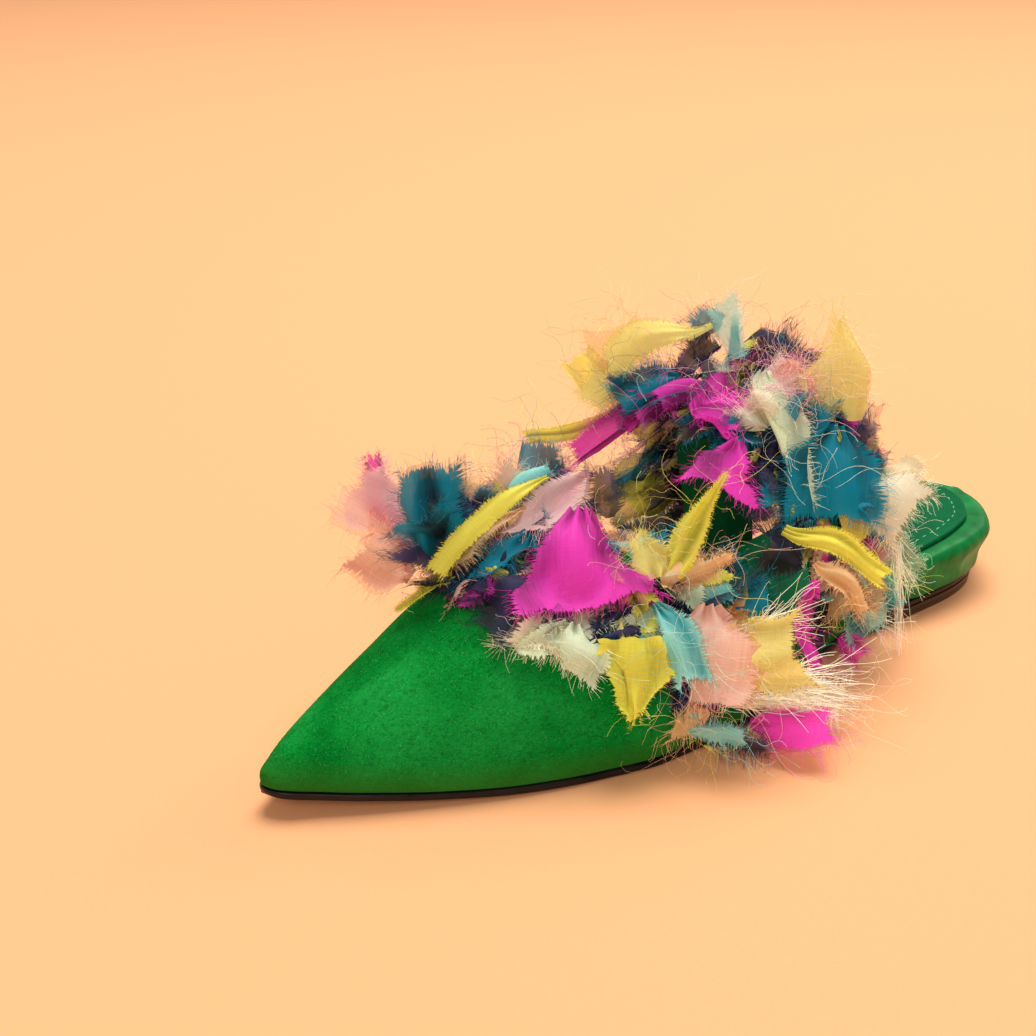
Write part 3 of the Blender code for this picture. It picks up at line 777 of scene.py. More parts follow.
FILL_LIFT = 1.6          # of the small strips' seams above the suede
CLOTH_LIFT = 4.0         # of the large strips' seams, where a row doesn't say
FRAY = 2.8               # widest margin where only the threads that cross the edge are left
LARGE = (18, 14)         # steps along and across a large strip
SMALL = (9, 6)
SMALL_CLEAR = 1.0        # height of a small strip above the suede
LARGE_CLEAR = (1.6, 0.45, 7.0)           # of a large one: at least, more by its lift, and at most
LARGE_KIND = (LARGE, 2.5, 4.6, 4)        # with fringe threads to a millimetre, their length and points
SMALL_KIND = (SMALL, 1.5, 3.0, 3)
UV_APART = 37.0          # between one strip's place on the weave and the next
BROAD_FOLD = 0.16        # height of the broadest wave, as a share of the width
TAIL_COLOUR = "cream"
HAIRS = 90               # loose threads on each colour
HAIR_LENGTHS = (9.0, 30.0)
HAIR_POINTS = 14
HAIRS_FULL = (100.0, 165.0)              # u between which the loose threads have their full length
HAIRS_FADE = 45.0        # and how far past it they shorten
SHOE_CORE = 25.0         # height of the line along the shoe that they turn away from
FRINGE_RADII, HAIR_RADII, TAIL_RADII = (0.05, 0.025), (0.04, 0.04), (0.14, 0.07)     # root and end
CUT = ("u", "angle", "heading", "rise", "length", "width", "curl", "roll", "taper", "slant", "tone", "end",
       "sheer", "lift")
# Colours of each cloth, deep and pale; tone runs between them along a strip. The tones mostly start low at
# the sewn end: partly the cloth's own dye, partly painted shade among the crowded seams.
CLOTHS = {
    "magenta": ((0.20, 0.0, 0.10), (1.0, 0.055, 0.62)),
    "pink": ((0.75, 0.20, 0.32), (1.0, 0.66, 0.66)),
    "coral": ((0.72, 0.22, 0.15), (1.0, 0.60, 0.48)),
    "peach": ((0.55, 0.20, 0.05), (1.0, 0.66, 0.34)),
    "yellow": ((0.66, 0.48, 0.08), (1.0, 0.90, 0.28)),
    "cream": ((0.68, 0.52, 0.26), (1.0, 0.94, 0.74)),
    "lime": ((0.20, 0.19, 0.002), (1.0, 0.94, 0.12)),
    "mint": ((0.28, 0.44, 0.28), (0.88, 0.98, 0.70)),
    "aqua": ((0.0, 0.30, 0.34), (0.42, 0.94, 0.86)),
    "petrol": ((0.0, 0.016, 0.030), (0.0, 0.27, 0.40)),
    "navy": ((0.003, 0.002, 0.006), (0.045, 0.042, 0.13)),
}

TORN = {                 # how far each cloth has frayed, as a share of the widest margin
    "magenta": 0.6, "pink": 1.1, "coral": 0.9, "peach": 0.7, "yellow": 0.5, "cream": 0.9, "lime": 0.2,
    "mint": 0.5, "aqua": 0.45, "petrol": 0.9, "navy": 1.15,
}


def column(cuts, key):
    return cuts[:, CUT.index(key)]


def worked_out(tree, operation, *values):
    """The result of an operation on values, each a socket or a number."""
    node = tree.nodes.new("ShaderNodeMath")
    node.operation = operation
    for socket, value in zip(node.inputs, values):
        feed(tree, socket, value)
    return node.outputs["Value"]


def summed(tree, value, factor, other):
    """value times factor plus other."""
    return worked_out(tree, "MULTIPLY_ADD", value, factor, other)


def weave_noise(tree, across, along, detail=2.0, roughness=0.5):
    """A pattern on the cloth's UV places, with across and along clouds to a millimetre."""
    return noise(tree, place_of(tree, (across, along, 1.0), "UV"), 1.0, detail, roughness)


LIGHT_THROUGH = 0.28     # share of the light that a strip lets through from behind
PLAIN_COVER = 0.93       # cover of a strip whose sheer is 0
SHEEREST = 0.75          # and how much of it a sheer of 1 takes away
TORN_AWAY = (1.52, 1.68)                 # nearness to the edge plus streaks, from whole cloth to none


def chiffon(name, deep, pale):
    """Thin woven cloth: its two colours by the strip's tone, streaks along the threads, a fine weave in the
    relief, light that comes through from behind, and a body that is partly see-through. The colour is
    lighter on the crests of the folds and darker in their hollows, which is painted shade. Near a torn
    edge only the threads that cross it are left, and its cover drops to streaks."""
    cloth, tree, shader = blank_material(name, 0.6, specular=0.2, sheen=0.08)
    shader.inputs["Sheen Roughness"].default_value = 0.4
    streak = weave_noise(tree, 1.3, 0.08, 3.0, 0.6)
    cloud = weave_noise(tree, 0.16, 0.10, 1.0)
    torn = worked_out(tree, "MAXIMUM", attribute(tree, "edge"), attribute(tree, "tip"))
    # Painted shade: fold, the height of the cloth's waves, makes the colour lighter on their crests and
    # darker in their hollows.
    shade = summed(tree, torn, 0.3, summed(tree, attribute(tree, "fold"), 0.55, attribute(tree, "tone")))
    tone = summed(tree, cloud, 0.6, summed(tree, streak, 0.5, shade))
    dye = ramp(tree, summed(tree, tone, 0.8, -0.15), ((0.15, deep), (0.85, pale)))
    weave = mixed(tree, 0.5, weave_noise(tree, 0.15, 3.2), weave_noise(tree, 3.2, 0.15))
    dye = shaded(tree, 0.5, dye, weave, ((0.38, 0.80), (0.54, 1.0)))
    feed(tree, shader.inputs["Base Color"], dye)
    bump(tree, shader, weave, 0.15, 0.7)
    crossing = summed(tree, weave_noise(tree, 0.10, 2.6, 1.0), 2.0, attribute(tree, "edge"))
    lengthwise = summed(tree, weave_noise(tree, 2.6, 0.10, 1.0), 2.0, attribute(tree, "tip"))
    loose = worked_out(tree, "MAXIMUM", crossing, lengthwise)
    cover = ranged(tree, loose, *TORN_AWAY, 1.0, 0.0)
    solid = summed(tree, attribute(tree, "sheer"), -SHEEREST, PLAIN_COVER)
    feed(tree, shader.inputs["Alpha"], worked_out(tree, "MULTIPLY", cover, solid))
    through = tree.nodes.new("ShaderNodeBsdfTranslucent")
    tree.links.new(dye, through.inputs["Color"])
    both = tree.nodes.new("ShaderNodeMixShader")
    both.inputs["Fac"].default_value = LIGHT_THROUGH
    tree.links.new(shader.outputs["BSDF"], both.inputs[1])
    tree.links.new(through.outputs["BSDF"], both.inputs[2])
    tree.links.new(both.outputs["Shader"], tree.nodes["Material Output"].inputs["Surface"])
    return cloth


def fringe_thread(name, deep, pale):
    """The same dye on a loose thread, which is a little paler towards its end."""
    loose, tree, shader = blank_material(name, 0.6, specular=0.3, sheen=0.2)
    tone = summed(tree, noise(tree, place_of(tree), 300.0, 2.0), 0.4, attribute(tree, "tone"))
    feed(tree, shader.inputs["Base Color"], ramp(tree, tone, ((0.15, deep), (1.0, pale))))
    return loose


CLOTH_FINISH = {colour: chiffon(colour + " chiffon", *dyes) for colour, dyes in CLOTHS.items()}
THREAD_FINISH = {colour: fringe_thread(colour + " thread", *dyes) for colour, dyes in CLOTHS.items()}


FLOOR_CLEAR = 1.2        # lowest that a point of the cloth may be
REACH = np.array(((-62.0, 40.0, 1.0), (84.0, 262.0, 117.0)))     # the box that the trim stays inside
LARGEST_PUSH = 4.0       # times as far from the middle of the section


def keep_clear(points, clearance):
    """Moves points that are inside the last outwards from the middle of their section, till they are
    clearance off it, and lifts points that would be in the floor."""
    out = points.copy()
    u = np.clip(out[..., 1], 2.0, LENGTH - 2.0)
    base = upper_base(u)
    tall = last_at("ridge", u) - base
    up = np.clip((out[..., 2] - base) / tall, 0.0, None) ** (1 / FULL_UP)
    lean = last_at("lean", u) * np.minimum(up, 1.0) ** 2
    side = out[..., 0] - lean
    half = np.where(side > 0, last_at("lateral", u), last_at("medial", u)) - MARGIN
    far = np.sqrt(up ** 2 + (np.abs(side) / half) ** (2 / FULL_ACROSS))
    size = np.minimum(half, tall)
    wanted = 1.0 + clearance / size
    grow = np.where((far < wanted) & (out[..., 2] > base - 1.0), wanted / np.maximum(far, 0.25), 1.0)
    out[..., 0] = lean + side * np.minimum(grow, LARGEST_PUSH)
    grow_up = np.where(out[..., 2] > base, np.minimum(grow, LARGEST_PUSH), 1.0)
    out[..., 2] = base + (out[..., 2] - base) * grow_up
    out[..., 2] = np.maximum(out[..., 2], FLOOR_CLEAR)
    return out


def drawn_in(root, reach, spare):
    """Scales each reach, a set of vectors from its root, so that it ends spare inside the REACH box."""
    room = np.where(reach > 0, REACH[1] - spare - root, root - REACH[0] - spare)
    fits = np.clip(room / np.maximum(np.abs(reach), 1e-6), 0.1, 1.0)
    return root + reach * fits.min(axis=tuple(range(1, fits.ndim)), keepdims=True)


def smooth(q):
    """A smooth step from 0 to 1."""
    q = np.clip(q, 0.0, 1.0)
    return q * q * (3 - 2 * q)


SWING, SWAY, TWIST = 7.0, 15.0, 20.0     # degrees that strips differ by in heading, in bend and in roll
GATHERED = (0.35, 0.45)                  # share of the width at the seam, and what a full taper adds
FLARED_ROOT = 0.2                        # and of a strip that flares
PLEATS = (2.0, 2.6, 3.2)                 # half waves over the width at the gathered end
WAVES = (0.8, 1.2, 1.7)                  # and where the strip has opened
TEAR = 0.6               # width, inside the margin, over which the cloth starts to come apart


def hang(cuts, steps, draw, margin):
    """Strips as grids, from rows of CUT. A strip leaves the last at its heading and rise, and bends by
    curl and a little to the side. Tight pleats at the gathered end open into one or two broad waves, the
    middle is cupped and the edges flutter. taper brings its end to a point, or below zero lets it flare,
    and slant cuts it askew. Gives the points, the directions along, across and off each, the half widths,
    UV places in millimetres, how near each point is to a long edge and to the end, and its fold."""
    n, (rows, columns) = len(cuts), steps
    c = {key: cuts[:, k, None] for k, key in enumerate(CUT)}
    ahead = np.linspace(0.0, 1.0, rows + 1)
    forward, inward, outward = last_frame(c["u"], c["angle"])
    swing = draw.normal(0.0, SWING, (n, 1))
    heading = np.radians(c["heading"] + swing * ahead)[..., None]
    flat = forward * np.cos(heading) + inward * np.sin(heading)
    sway = draw.normal(0.0, SWAY, (n, 1)) * np.sin(2 * np.pi * ahead)
    slope = np.radians(c["rise"] - c["curl"] * ahead + sway)[..., None]
    along = flat * np.cos(slope) + outward * np.sin(slope)
    length = c["length"] + margin * 0.8
    moves = (along[:, 1:] + along[:, :-1]) / 2 * (length / rows)[..., None]
    centre = np.concatenate((np.zeros((n, 1, 3)), np.cumsum(moves, axis=1)), axis=1)
    centre += last_point(c["u"], c["angle"]) + outward * c["lift"][..., None]
    level = np.cross(flat, outward)
    normal = outward * np.cos(slope) - flat * np.sin(slope)
    turn = np.radians(c["roll"] * (0.35 + 0.65 * smooth(ahead * 2.5))
                      + draw.normal(0.0, TWIST, (n, 1)) * ahead)[..., None]
    across = level * np.cos(turn) + normal * np.sin(turn)
    face = normal * np.cos(turn) - level * np.sin(turn)
    flared = c["taper"] < 0
    gathered = np.where(flared, FLARED_ROOT, GATHERED[0] + GATHERED[1] * c["taper"])
    opened = np.where(flared, ahead, smooth(ahead / 0.5))
    half = c["width"] / 2 * (gathered + (1 - gathered) * opened)
    half = half * (1 - np.maximum(c["taper"], 0.0) * smooth((ahead - 0.15) / 0.85) * 0.97)

    # t runs across from one long edge to the other, and s along from the gathered end.
    t = np.linspace(-1.0, 1.0, columns + 1)[None, None, :]
    s = ahead[None, :, None]
    edge_side, middle_out = np.sign(t), t * t
    phase = draw.uniform(0.0, 2 * np.pi, (5, n, 1, 1))
    body = half[..., None] * (1 + 0.09 * np.sin(6.0 * s + 2.0 * edge_side + phase[3])
                              + 0.05 * np.sin(15.0 * s - edge_side + phase[4]))
    w = np.maximum(body - 0.4 * margin, 0.35 * body) + margin * smooth(s * 5)
    wide = c["width"][..., None]
    pleats = draw.choice(PLEATS, (n, 1, 1))
    waves = draw.choice(WAVES, (n, 1, 1))
    fold = 0.08 * np.exp(-((s / 0.25) ** 2)) * np.cos(np.pi * pleats * t + phase[0])
    fold = fold + (draw.uniform(0.06, BROAD_FOLD, (n, 1, 1)) * smooth(s / 0.4)
                   * np.cos(np.pi * waves * (t + 0.3 * s) + phase[1]))
    fold = fold + (draw.uniform(0.02, 0.08, (n, 1, 1)) * middle_out
                   * np.sin(2 * np.pi * 1.3 * s + edge_side + phase[2]))
    relief = (fold * np.minimum(wide, 20.0)
              + draw.normal(0.0, 0.25, (n, 1, 1)) * w * middle_out * smooth(s * 1.5))
    corner = draw.uniform(-0.4, 1.0, (n, 1, 1)) * (middle_out - 0.3) + 0.25 * np.sin(2.2 * t + phase[1])
    shear = (c["slant"][..., None] * t * w * s * s + corner * 0.22 * wide * s ** 3
             + draw.normal(0.0, 0.45, (n, 1, columns + 1)) * s ** 6)
    points = (centre[:, :, None] + across[:, :, None] * (t * w)[..., None]
              + along[:, :, None] * shear[..., None] + face[:, :, None] * relief[..., None])
    grid = points.shape[:3]
    sideways = t * w + UV_APART * np.arange(n)[:, None, None]
    uv = np.stack((sideways, np.broadcast_to(s * length[..., None], grid)), axis=-1)
    edge = 1 - np.clip((1 - np.abs(t)) * w / np.minimum(margin + TEAR, w), 0, 1)
    tip = 1 - np.clip((1 - s) * length[..., None] / (margin + TEAR), 0, 1)
    root = centre[:, :1, None]
    least, by_lift, most = LARGE_CLEAR
    clearance = SMALL_CLEAR if steps == SMALL else np.minimum(least + by_lift * c["lift"], most)[..., None]
    return (keep_clear(drawn_in(root, points - root, 4.0), clearance), along, across, face, half, uv,
            edge * smooth(s * 4), np.broadcast_to(tip, grid), fold / BROAD_FOLD)


CLUMP = 1.3              # distance between the tufts that threads of a torn edge gather into
THREAD_CLEAR = 0.5       # least height of a thread above the suede
THREAD_SHARE = (0.45, 1.0)               # of the longest, that threads are drawn from
LONG_THREADS = (0.05, 1.8)               # one in twenty is longer, and by how much
NARROW = 4.0             # half width of a strip below which its threads are shorter
ROOTED = 0.6             # how far inside the edge a thread starts


def fray(strips, cuts, steps, draw, per_mm, longest, bends):
    """Fringe threads on the two long edges and the end of each strip. A thread starts just inside the
    edge, runs out square to it, leans towards the nearest tuft and bends a little; its tone is the
    strip's own. Gives the paths and their tones."""
    points, along, across, face, half = strips[:5]
    rows, columns = steps
    length, slack = column(cuts, "length"), 1 - 0.35 * column(cuts, "sheer")
    q = np.linspace(0.0, 1.0, bends)[None, :, None]
    paths, tones = [], []
    for side, run in ((-1.0, length * 0.8), (1.0, length * 0.8), (0.0, 2 * half[:, -1])):
        many = np.maximum((run * per_mm * slack).astype(int), 2)
        strip = np.repeat(np.arange(len(cuts)), many)
        count = len(strip)
        spot = draw.uniform(0.0, 1.0, count)
        place = spot * run[strip]
        lean = (np.round(place / CLUMP) * CLUMP - place) * draw.uniform(0.2, 1.0, count)
        at_end = side == 0.0
        steps_on = spot * columns if at_end else (0.2 + 0.8 * spot) * rows
        low = np.minimum(steps_on.astype(int), (columns if at_end else rows) - 1)
        part = (steps_on - low)[:, None]
        if at_end:
            root = points[strip, -1, low] * (1 - part) + points[strip, -1, low + 1] * part
            aside = across[strip, -1]
            out = along[strip, -1] + aside * ((spot - 0.5) * 0.5)[:, None]
            s = np.ones(count)
        else:
            edge = 0 if side < 0 else columns
            root = points[strip, low, edge] * (1 - part) + points[strip, low + 1, edge] * part
            aside = along[strip, low]
            out = across[strip, low] * side + aside * 0.15
            s = steps_on / rows
        off = face[strip, -1 if at_end else low]
        size = longest * draw.uniform(*THREAD_SHARE, count)
        size = size * np.minimum(1.0, half[strip].max(axis=1) / NARROW)
        size *= np.where(draw.uniform(size=count) < LONG_THREADS[0], LONG_THREADS[1], 1.0)
        out = unit(out + draw.normal(0.0, 0.05, (count, 3)))
        bend = (aside * (lean / np.maximum(size, 1.0) + draw.normal(0.0, 0.22, count))[:, None]
                + off * draw.normal(0.0, 0.25, (count, 1)) + np.array((0.0, 0.0, -0.12)))
        reach = size[:, None, None] * (out[:, None] * q + bend[:, None] * q ** 1.6)
        paths.append(drawn_in((root - out * ROOTED)[:, None], reach, 0.0))
        tones.append(column(cuts, "tone")[strip] * (1 - s) + column(cuts, "end")[strip] * s
                     + draw.normal(0.10, 0.12, count))
    return keep_clear(np.vstack(paths), THREAD_CLEAR), np.concatenate(tones)


CURL, SWERVE = 2.2, 0.5                  # radians that the loose threads turn by, and swing by


def hairs(points, count, draw, shortest, longest):
    """Long single threads that start anywhere on the strips. A thread's direction turns at a steady
    rate in one plane and swings in the other, which gives open curls. Near the toe and the heel they
    are shorter. Gives the paths."""
    strip = draw.integers(0, len(points), count)
    row = draw.integers(points.shape[1] // 2, points.shape[1], count)
    root = points[strip, row, draw.integers(0, points.shape[2], count)]
    away = unit((root - (0.0, 0.0, SHOE_CORE)) * (1.0, 0.0, 1.0))
    one = unit(away * 0.8 + draw.normal(0.0, 0.6, (count, 3)))
    two = unit(np.cross(one, draw.normal(0.0, 1.0, (count, 3))))
    three = np.cross(one, two)
    q = np.linspace(0.0, 1.0, HAIR_POINTS)[None, :]
    turn = draw.normal(0.0, CURL, (count, 1)) * q + draw.uniform(0.2, 0.8, (count, 1)) * np.sin(
        2 * np.pi * (draw.uniform(0.8, 2.2, (count, 1)) * q + draw.uniform(0, 1, (count, 1))))
    tilt = draw.normal(0.0, SWERVE, (count, 1)) * np.sin(2 * np.pi * (q + draw.uniform(0, 1, (count, 1))))
    run = (one[:, None] * np.cos(turn)[..., None] + two[:, None] * np.sin(turn)[..., None]
           + three[:, None] * tilt[..., None])
    run = unit(run + np.array((0.0, 0.0, -0.25)) * q[..., None])
    size = draw.uniform(shortest, longest, (count, 1, 1)) / (HAIR_POINTS - 1)
    first, last = HAIRS_FULL[0] - HAIRS_FADE, HAIRS_FULL[1] + HAIRS_FADE
    room = np.minimum(root[:, 1] - first, last - root[:, 1])
    size *= np.clip(room / HAIRS_FADE, 0.3, 1.0)[:, None, None]
    path = np.cumsum(run * size, axis=1) - run[:, :1] * size
    return keep_clear(drawn_in(root[:, None], path, 0.0), THREAD_CLEAR)


def bunches(rows, draw):
    """Tails of threads that start together and fan out as they go: spread is how far their ends are
    apart, and droop how far they sink below their heading."""
    tails = []
    q = np.linspace(0.0, 1.0, HAIR_POINTS)[None, :, None]
    for u, angle, lift, heading, rise, length, spread, droop, count in rows:
        forward, inward, outward = last_frame(np.array([float(u)]), np.array([float(angle)]))
        turn, slope = np.radians(heading), np.radians(rise)
        aim = (forward * np.cos(turn) + inward * np.sin(turn)) * np.cos(slope) + outward * np.sin(slope)
        root = last_point(float(u), float(angle)) + outward * lift + draw.normal(0.0, 0.8, (count, 3))
        fan = draw.normal(0.0, spread, (count, 3))
        wave = draw.normal(0.0, 0.9, (count, 1, 3)) * np.sin(
            2 * np.pi * (1.4 * q + draw.uniform(0, 1, (count, 1, 1))))
        size = length * draw.uniform(0.55, 1.05, (count, 1, 1))
        reach = (aim[:, None] * size * q + fan[:, None] * q ** 1.5 + wave * q
                 + np.array((0.0, 0.0, -droop)) * q * q)
        tails.append(drawn_in(root[:, None], reach, 0.0))
    return keep_clear(np.vstack(tails), THREAD_CLEAR)


def thread_piece(name, threads, finish, draw):
    """One piece of all its threads, each set with its paths, radii and tones."""
    corners, faces, tones = [], [], []
    for paths, radii, tone in threads:
        thin = np.linspace(*radii, paths.shape[1])[None] * draw.uniform(0.7, 1.2, (len(paths), 1))
        tube, sides, share = tubes(paths, thin)
        start = sum(len(part) for part in corners)
        faces += [[corner + start for corner in face] for face in sides]
        corners.append(tube)
        tones.append(np.repeat(tone, len(share) // len(tone)) + 0.2 * share)
    return piece_from(name, np.vstack(corners), faces, [finish], values={"tone": np.concatenate(tones)},
                      closed=False)


def dress(where_name, large, small, seed, tails):
    pieces = []
    for k, colour in enumerate(CLOTHS):
        draw = np.random.default_rng(seed + k)
        spots, quads, places, threads = [], [], [], []
        values = {"tone": [], "edge": [], "tip": [], "fold": [], "sheer": []}
        torn = TORN[colour]
        kinds = ((large[colour], *LARGE_KIND), (small[colour], *SMALL_KIND))
        for rows, steps, per_mm, longest, bends in kinds:
            if not rows:
                continue
            cuts = np.array(rows, float)
            strips = hang(cuts, steps, draw, FRAY * torn)
            points, uv, edge, tip, fold = strips[0], *strips[5:]
            share = np.linspace(0, 1, steps[0] + 1)
            # Tone from the seam to the end: its low start is partly painted shade among the seams.
            tone = column(cuts, "tone")[:, None] * (1 - share) + column(cuts, "end")[:, None] * share
            size = (steps[0] + 1, steps[1] + 1)
            start = sum(len(s) for s in spots)
            quads += [grid_faces(*size, start=start + j * size[0] * size[1]) for j in range(len(cuts))]
            spots.append(points.reshape(-1, 3))
            places.append(uv.reshape(-1, 2))
            sheer = column(cuts, "sheer")[:, None, None]
            for key, numbers in zip(values, (tone[:, :, None], edge, tip, fold, sheer)):
                values[key].append(np.broadcast_to(numbers, points.shape[:3]).ravel())
            paths, tones = fray(strips, cuts, steps, draw, per_mm * min(torn, 1.0) ** 0.5,
                                longest * (0.12 + 0.88 * torn), bends)
            threads.append((paths, FRINGE_RADII, tones))
            if steps == LARGE or not large[colour]:
                threads.append((hairs(points, HAIRS, draw, *HAIR_LENGTHS), HAIR_RADII,
                                draw.uniform(0.3, 1.0, HAIRS)))
        if colour == TAIL_COLOUR:
            paths = bunches(tails, draw)
            threads.append((paths, TAIL_RADII, draw.uniform(0.6, 1.1, len(paths))))
        values = {key: np.concatenate(numbers) for key, numbers in values.items()}
        cloth = piece_from(f"{where_name}_{colour}_scraps", np.vstack(spots), np.vstack(quads),
                           [CLOTH_FINISH[colour]], values=values, uv=np.vstack(places), crease=180.0,
                           closed=False)
        fringe = thread_piece(f"{where_name}_{colour}_fringe", threads, THREAD_FINISH[colour], draw)
        pieces.append(cloth)
    return pieces


VAMP_STRIPS = {
    "magenta": [(100, 78, -43, -8, 33, 40, 42, 17, -0.3, 0, 0.35, 0.8, 0, 12),
        (121, 4, 179, 49, 31, 17, 0, 35, 0, 0.1, 0.5, 0.85, 0, 9),
        (68, 120, -141, 72, 22, 9, 0, 85, 0.5, 0, 0.2, 0.5, 0.1, 18)],
    "pink": [(114, 92, -7, -5, 34, 14, 30, 58, 0.1, 0.2, 0.55, 0.95, 0.15, 9),
        (65, 118, 31, 91, 26, 20, 10, -90, -0.1, 0.1, 0.3, 0.75, 0.15, 9)],
    "coral": [(62, 118, 34, 74, 17, 17, 0, 86, 0, 0.2, 0.3, 0.6, 0.15, 6),
        (97, 98, 67, 48, 15, 15, 0, 42, 0, 0.2, 0.4, 0.8, 0.1, 4),
        (117, 36, -57, 8, 27, 23, 30, -31, 0, 0.2, 0.45, 0.8, 0.1, 5)],
    "peach": [(93, 94, 0, -2, 36, 8, 36, 65, -0.1, 0.2, 0.35, 0.65, 0, 9),
        (108, 50, -156, 20, 20, 11, 5, -22, 0.95, -0.3, 0.5, 0.75, 0, 4),
        (109, 10, -12, -26, 14, 9, 10, -26, 0.2, 0, 0.6, 0.9, 0.1, 6)],
    "yellow": [(109, 106, 6, 7, 27, 14, 40, 72, 0.2, 0.2, 0.3, 0.75, 0.1, 9),
        (110, 24, -163, 38, 25, 20, 0, 4, 0, 0.2, 0.55, 0.9, 0.1, 6),
        (106, 50, 101, 17, 12, 12, 0, 20, 0.5, 0.2, 0.4, 0.7, 0.1, 6)],
    "cream": [(77, 58, -35, -17, 14, 17, 20, 10, -0.1, 0, 0.2, 0.5, 0, 4),
        (137, 4, -167, 64, 18, 11, 0, 18, 0.1, 0, 0.7, 1, 0.2, 4)],
    "lime": [(101, 92, -8, 16, 45, 6, 42, 60, 0.0, 0, 0.55, 0.9, 0.05, 15),
        (66, 94, 13, 6, 18, 8, 25, 57, 0.5, 0.2, 0.3, 0.6, 0.1, 4),
        (92, 38, -70, 2, 23, 27, 25, -10, 0.95, 0, 0.7, 0.95, 0, 8),
        (111, 50, 154, 27, 31, 11, -10, 8, 0.9, 0, 0.45, 0.75, 0.1, 4),
        (107, 2, -145, 53, 21, 6, 0, 1, 0.9, 0, 0.55, 0.9, 0, 6)],
    "mint": [(81, 50, -44, -3, 14, 22, 30, 0, 0.0, 0, 0.45, 0.75, 0, 4),
        (105, 36, 4, -8, 10, 16, 40, 3, 0, 0, 0.3, 0.6, 0.2, 2)],
    "aqua": [(102, 44, -88, 14, 24, 9.5, 15, -16, 0, 0, 0.05, 0.4, 0, 6),
        (114, 52, 39, 7, 12, 14, 40, 26, 0.1, 0.2, 0.7, 1, 0.3, 4),
        (103, 6, -179, 43, 15, 6, 0, 42, 0.2, 0, 0.5, 0.8, 0.2, 4)],
    "petrol": [(64, 96, 170, 72, 28, 16, 0, -44, 0.0, 0.2, 0.0, 0.45, 0, 6),
        (68, 108, 176, 66, 24, 12, 10, -60, 0.1, -0.2, 0.0, 0.25, 0, 4),
        (88, 86, -5, -18, 20, 14, 0, 54, 0.2, 0.3, 0.3, 0.6, 0, 6)],
    "navy": [(107, 4, -175, 61, 26, 8, 15, 41, 0.3, 0, 0, 0.6, 0.1, 6),
        (108, 76, 116, 46, 13, 9, 0, -8, 0.5, 0, 0, 0.3, 0.2, 4),
        (71, 104, -176, 52, 17, 10, 0, -67, 0.3, 0, 0, 0.2, 0.2, 4),
        # These three navy strips at the deepest tone lie flat along the front of the trim: partly dark
        # cloth, partly painted shade where the trim meets the suede.
        (71, 68, -19, -9, 13, 12, 40, 14, 0.3, 0, 0, 0.1, 0.3, 4),
        (80, 88, -8, 0, 17, 18, 30, 10, 0.2, 0, 0, 0.15, 0, 4),
        (82, 70, -20, 0, 16, 16, 30, 0, 0.2, 0, 0, 0.15, 0, 3)],
}
# The strips between the placed ones lean to navy and petrol, and the ground layer under them is nearly all
# navy and petrol: partly dark cloth, partly painted shade in the gaps of the trim.
FILL_WEIGHTS = {"magenta": 5, "pink": 3, "coral": 2, "peach": 3, "yellow": 1, "cream": 3, "lime": 2,
                "mint": 2, "aqua": 3, "petrol": 7, "navy": 10}
GROUND_WEIGHTS = {"navy": 12, "petrol": 5, "magenta": 1, "lime": 1}
INNER_WEIGHTS = {"magenta": 4, "pink": 1, "peach": 1, "lime": 2, "mint": 1, "aqua": 1, "petrol": 7,
                 "navy": 11}
INNER_FROM = 100.0       # angle past which some of the strips between are as large as the placed ones
SEAM_IN = 2.0            # least distance from a seam to the suede's edge
VAMP_BAND = 27.0         # width of the trimmed band along the vamp's topline
VAMP_TAILS = (           # u, angle, lift, heading, rise, length, spread, droop, number of threads
    (116, 10, 6, -165, 14, 36, 3.6, 3, 110), (120, 14, 8, -170, 30, 30, 4.8, 2, 60),
    (125, 24, 4, 177, 40, 22, 4.5, 1, 26),
)


def scatter(count, spot, shortest, longest, weights, seed, angles=(6.0, 174.0), flat=True):
    """Strips between the placed ones, drawn at random, as rows of CUT for each colour. spot gives the u
    and the heading of each from its angle and its share of the way over the trimmed band, weights are
    how often a colour comes up, and flat strips lie close to the suede."""
    draw = np.random.default_rng(seed)
    colours = list(weights)
    odds = np.array([weights[c] for c in colours], float)
    angle = draw.uniform(*angles, count)
    share = draw.uniform(0.0, 1.0, count)
    u, heading = spot(angle, share, draw)
    rise = draw.uniform(-4, 8, count) if flat else draw.uniform(12, 48, count)
    length = draw.uniform(shortest, longest, count)
    # Deep tones, 0 to 0.2 at the seam and up to 0.6 at the end, keep these strips dark: partly their dye,
    # partly painted shade between the placed strips.
    rows = np.column_stack((u, angle, heading, rise, length, length * draw.uniform(0.45, 0.8, count),
                            draw.uniform(-10, 12, count) if flat else draw.uniform(-15, 30, count),
                            draw.normal(0, 12 if flat else 30, count),
                            draw.choice((0.0, 0.0, 0.3, 0.95), count), draw.normal(0, 0.3, count),
                            draw.uniform(0.0, 0.2, count), draw.uniform(0.0, 0.6, count),
                            draw.choice((0.0, 0.1, 0.35), count),
                            np.full(count, FILL_LIFT if flat else CLOTH_LIFT)))
    picked = draw.choice(len(colours), count, p=odds / odds.sum())
    return {colour: rows[picked == k].tolist() for k, colour in enumerate(colours)}


def together(*sets):
    """One table of strips from several."""
    return {colour: [row for one in sets for row in one.get(colour, [])] for colour in CLOTHS}


def headings(ahead, draw):
    """Towards the toe, more or less, where ahead says so, and back elsewhere."""
    return np.where(ahead, draw.normal(0, 45, len(ahead)), draw.normal(180, 55, len(ahead)))


def vamp_spot(angle, share, draw):
    return vamp_edge(angle) - SEAM_IN - VAMP_BAND * share, headings(share > 0.45, draw)


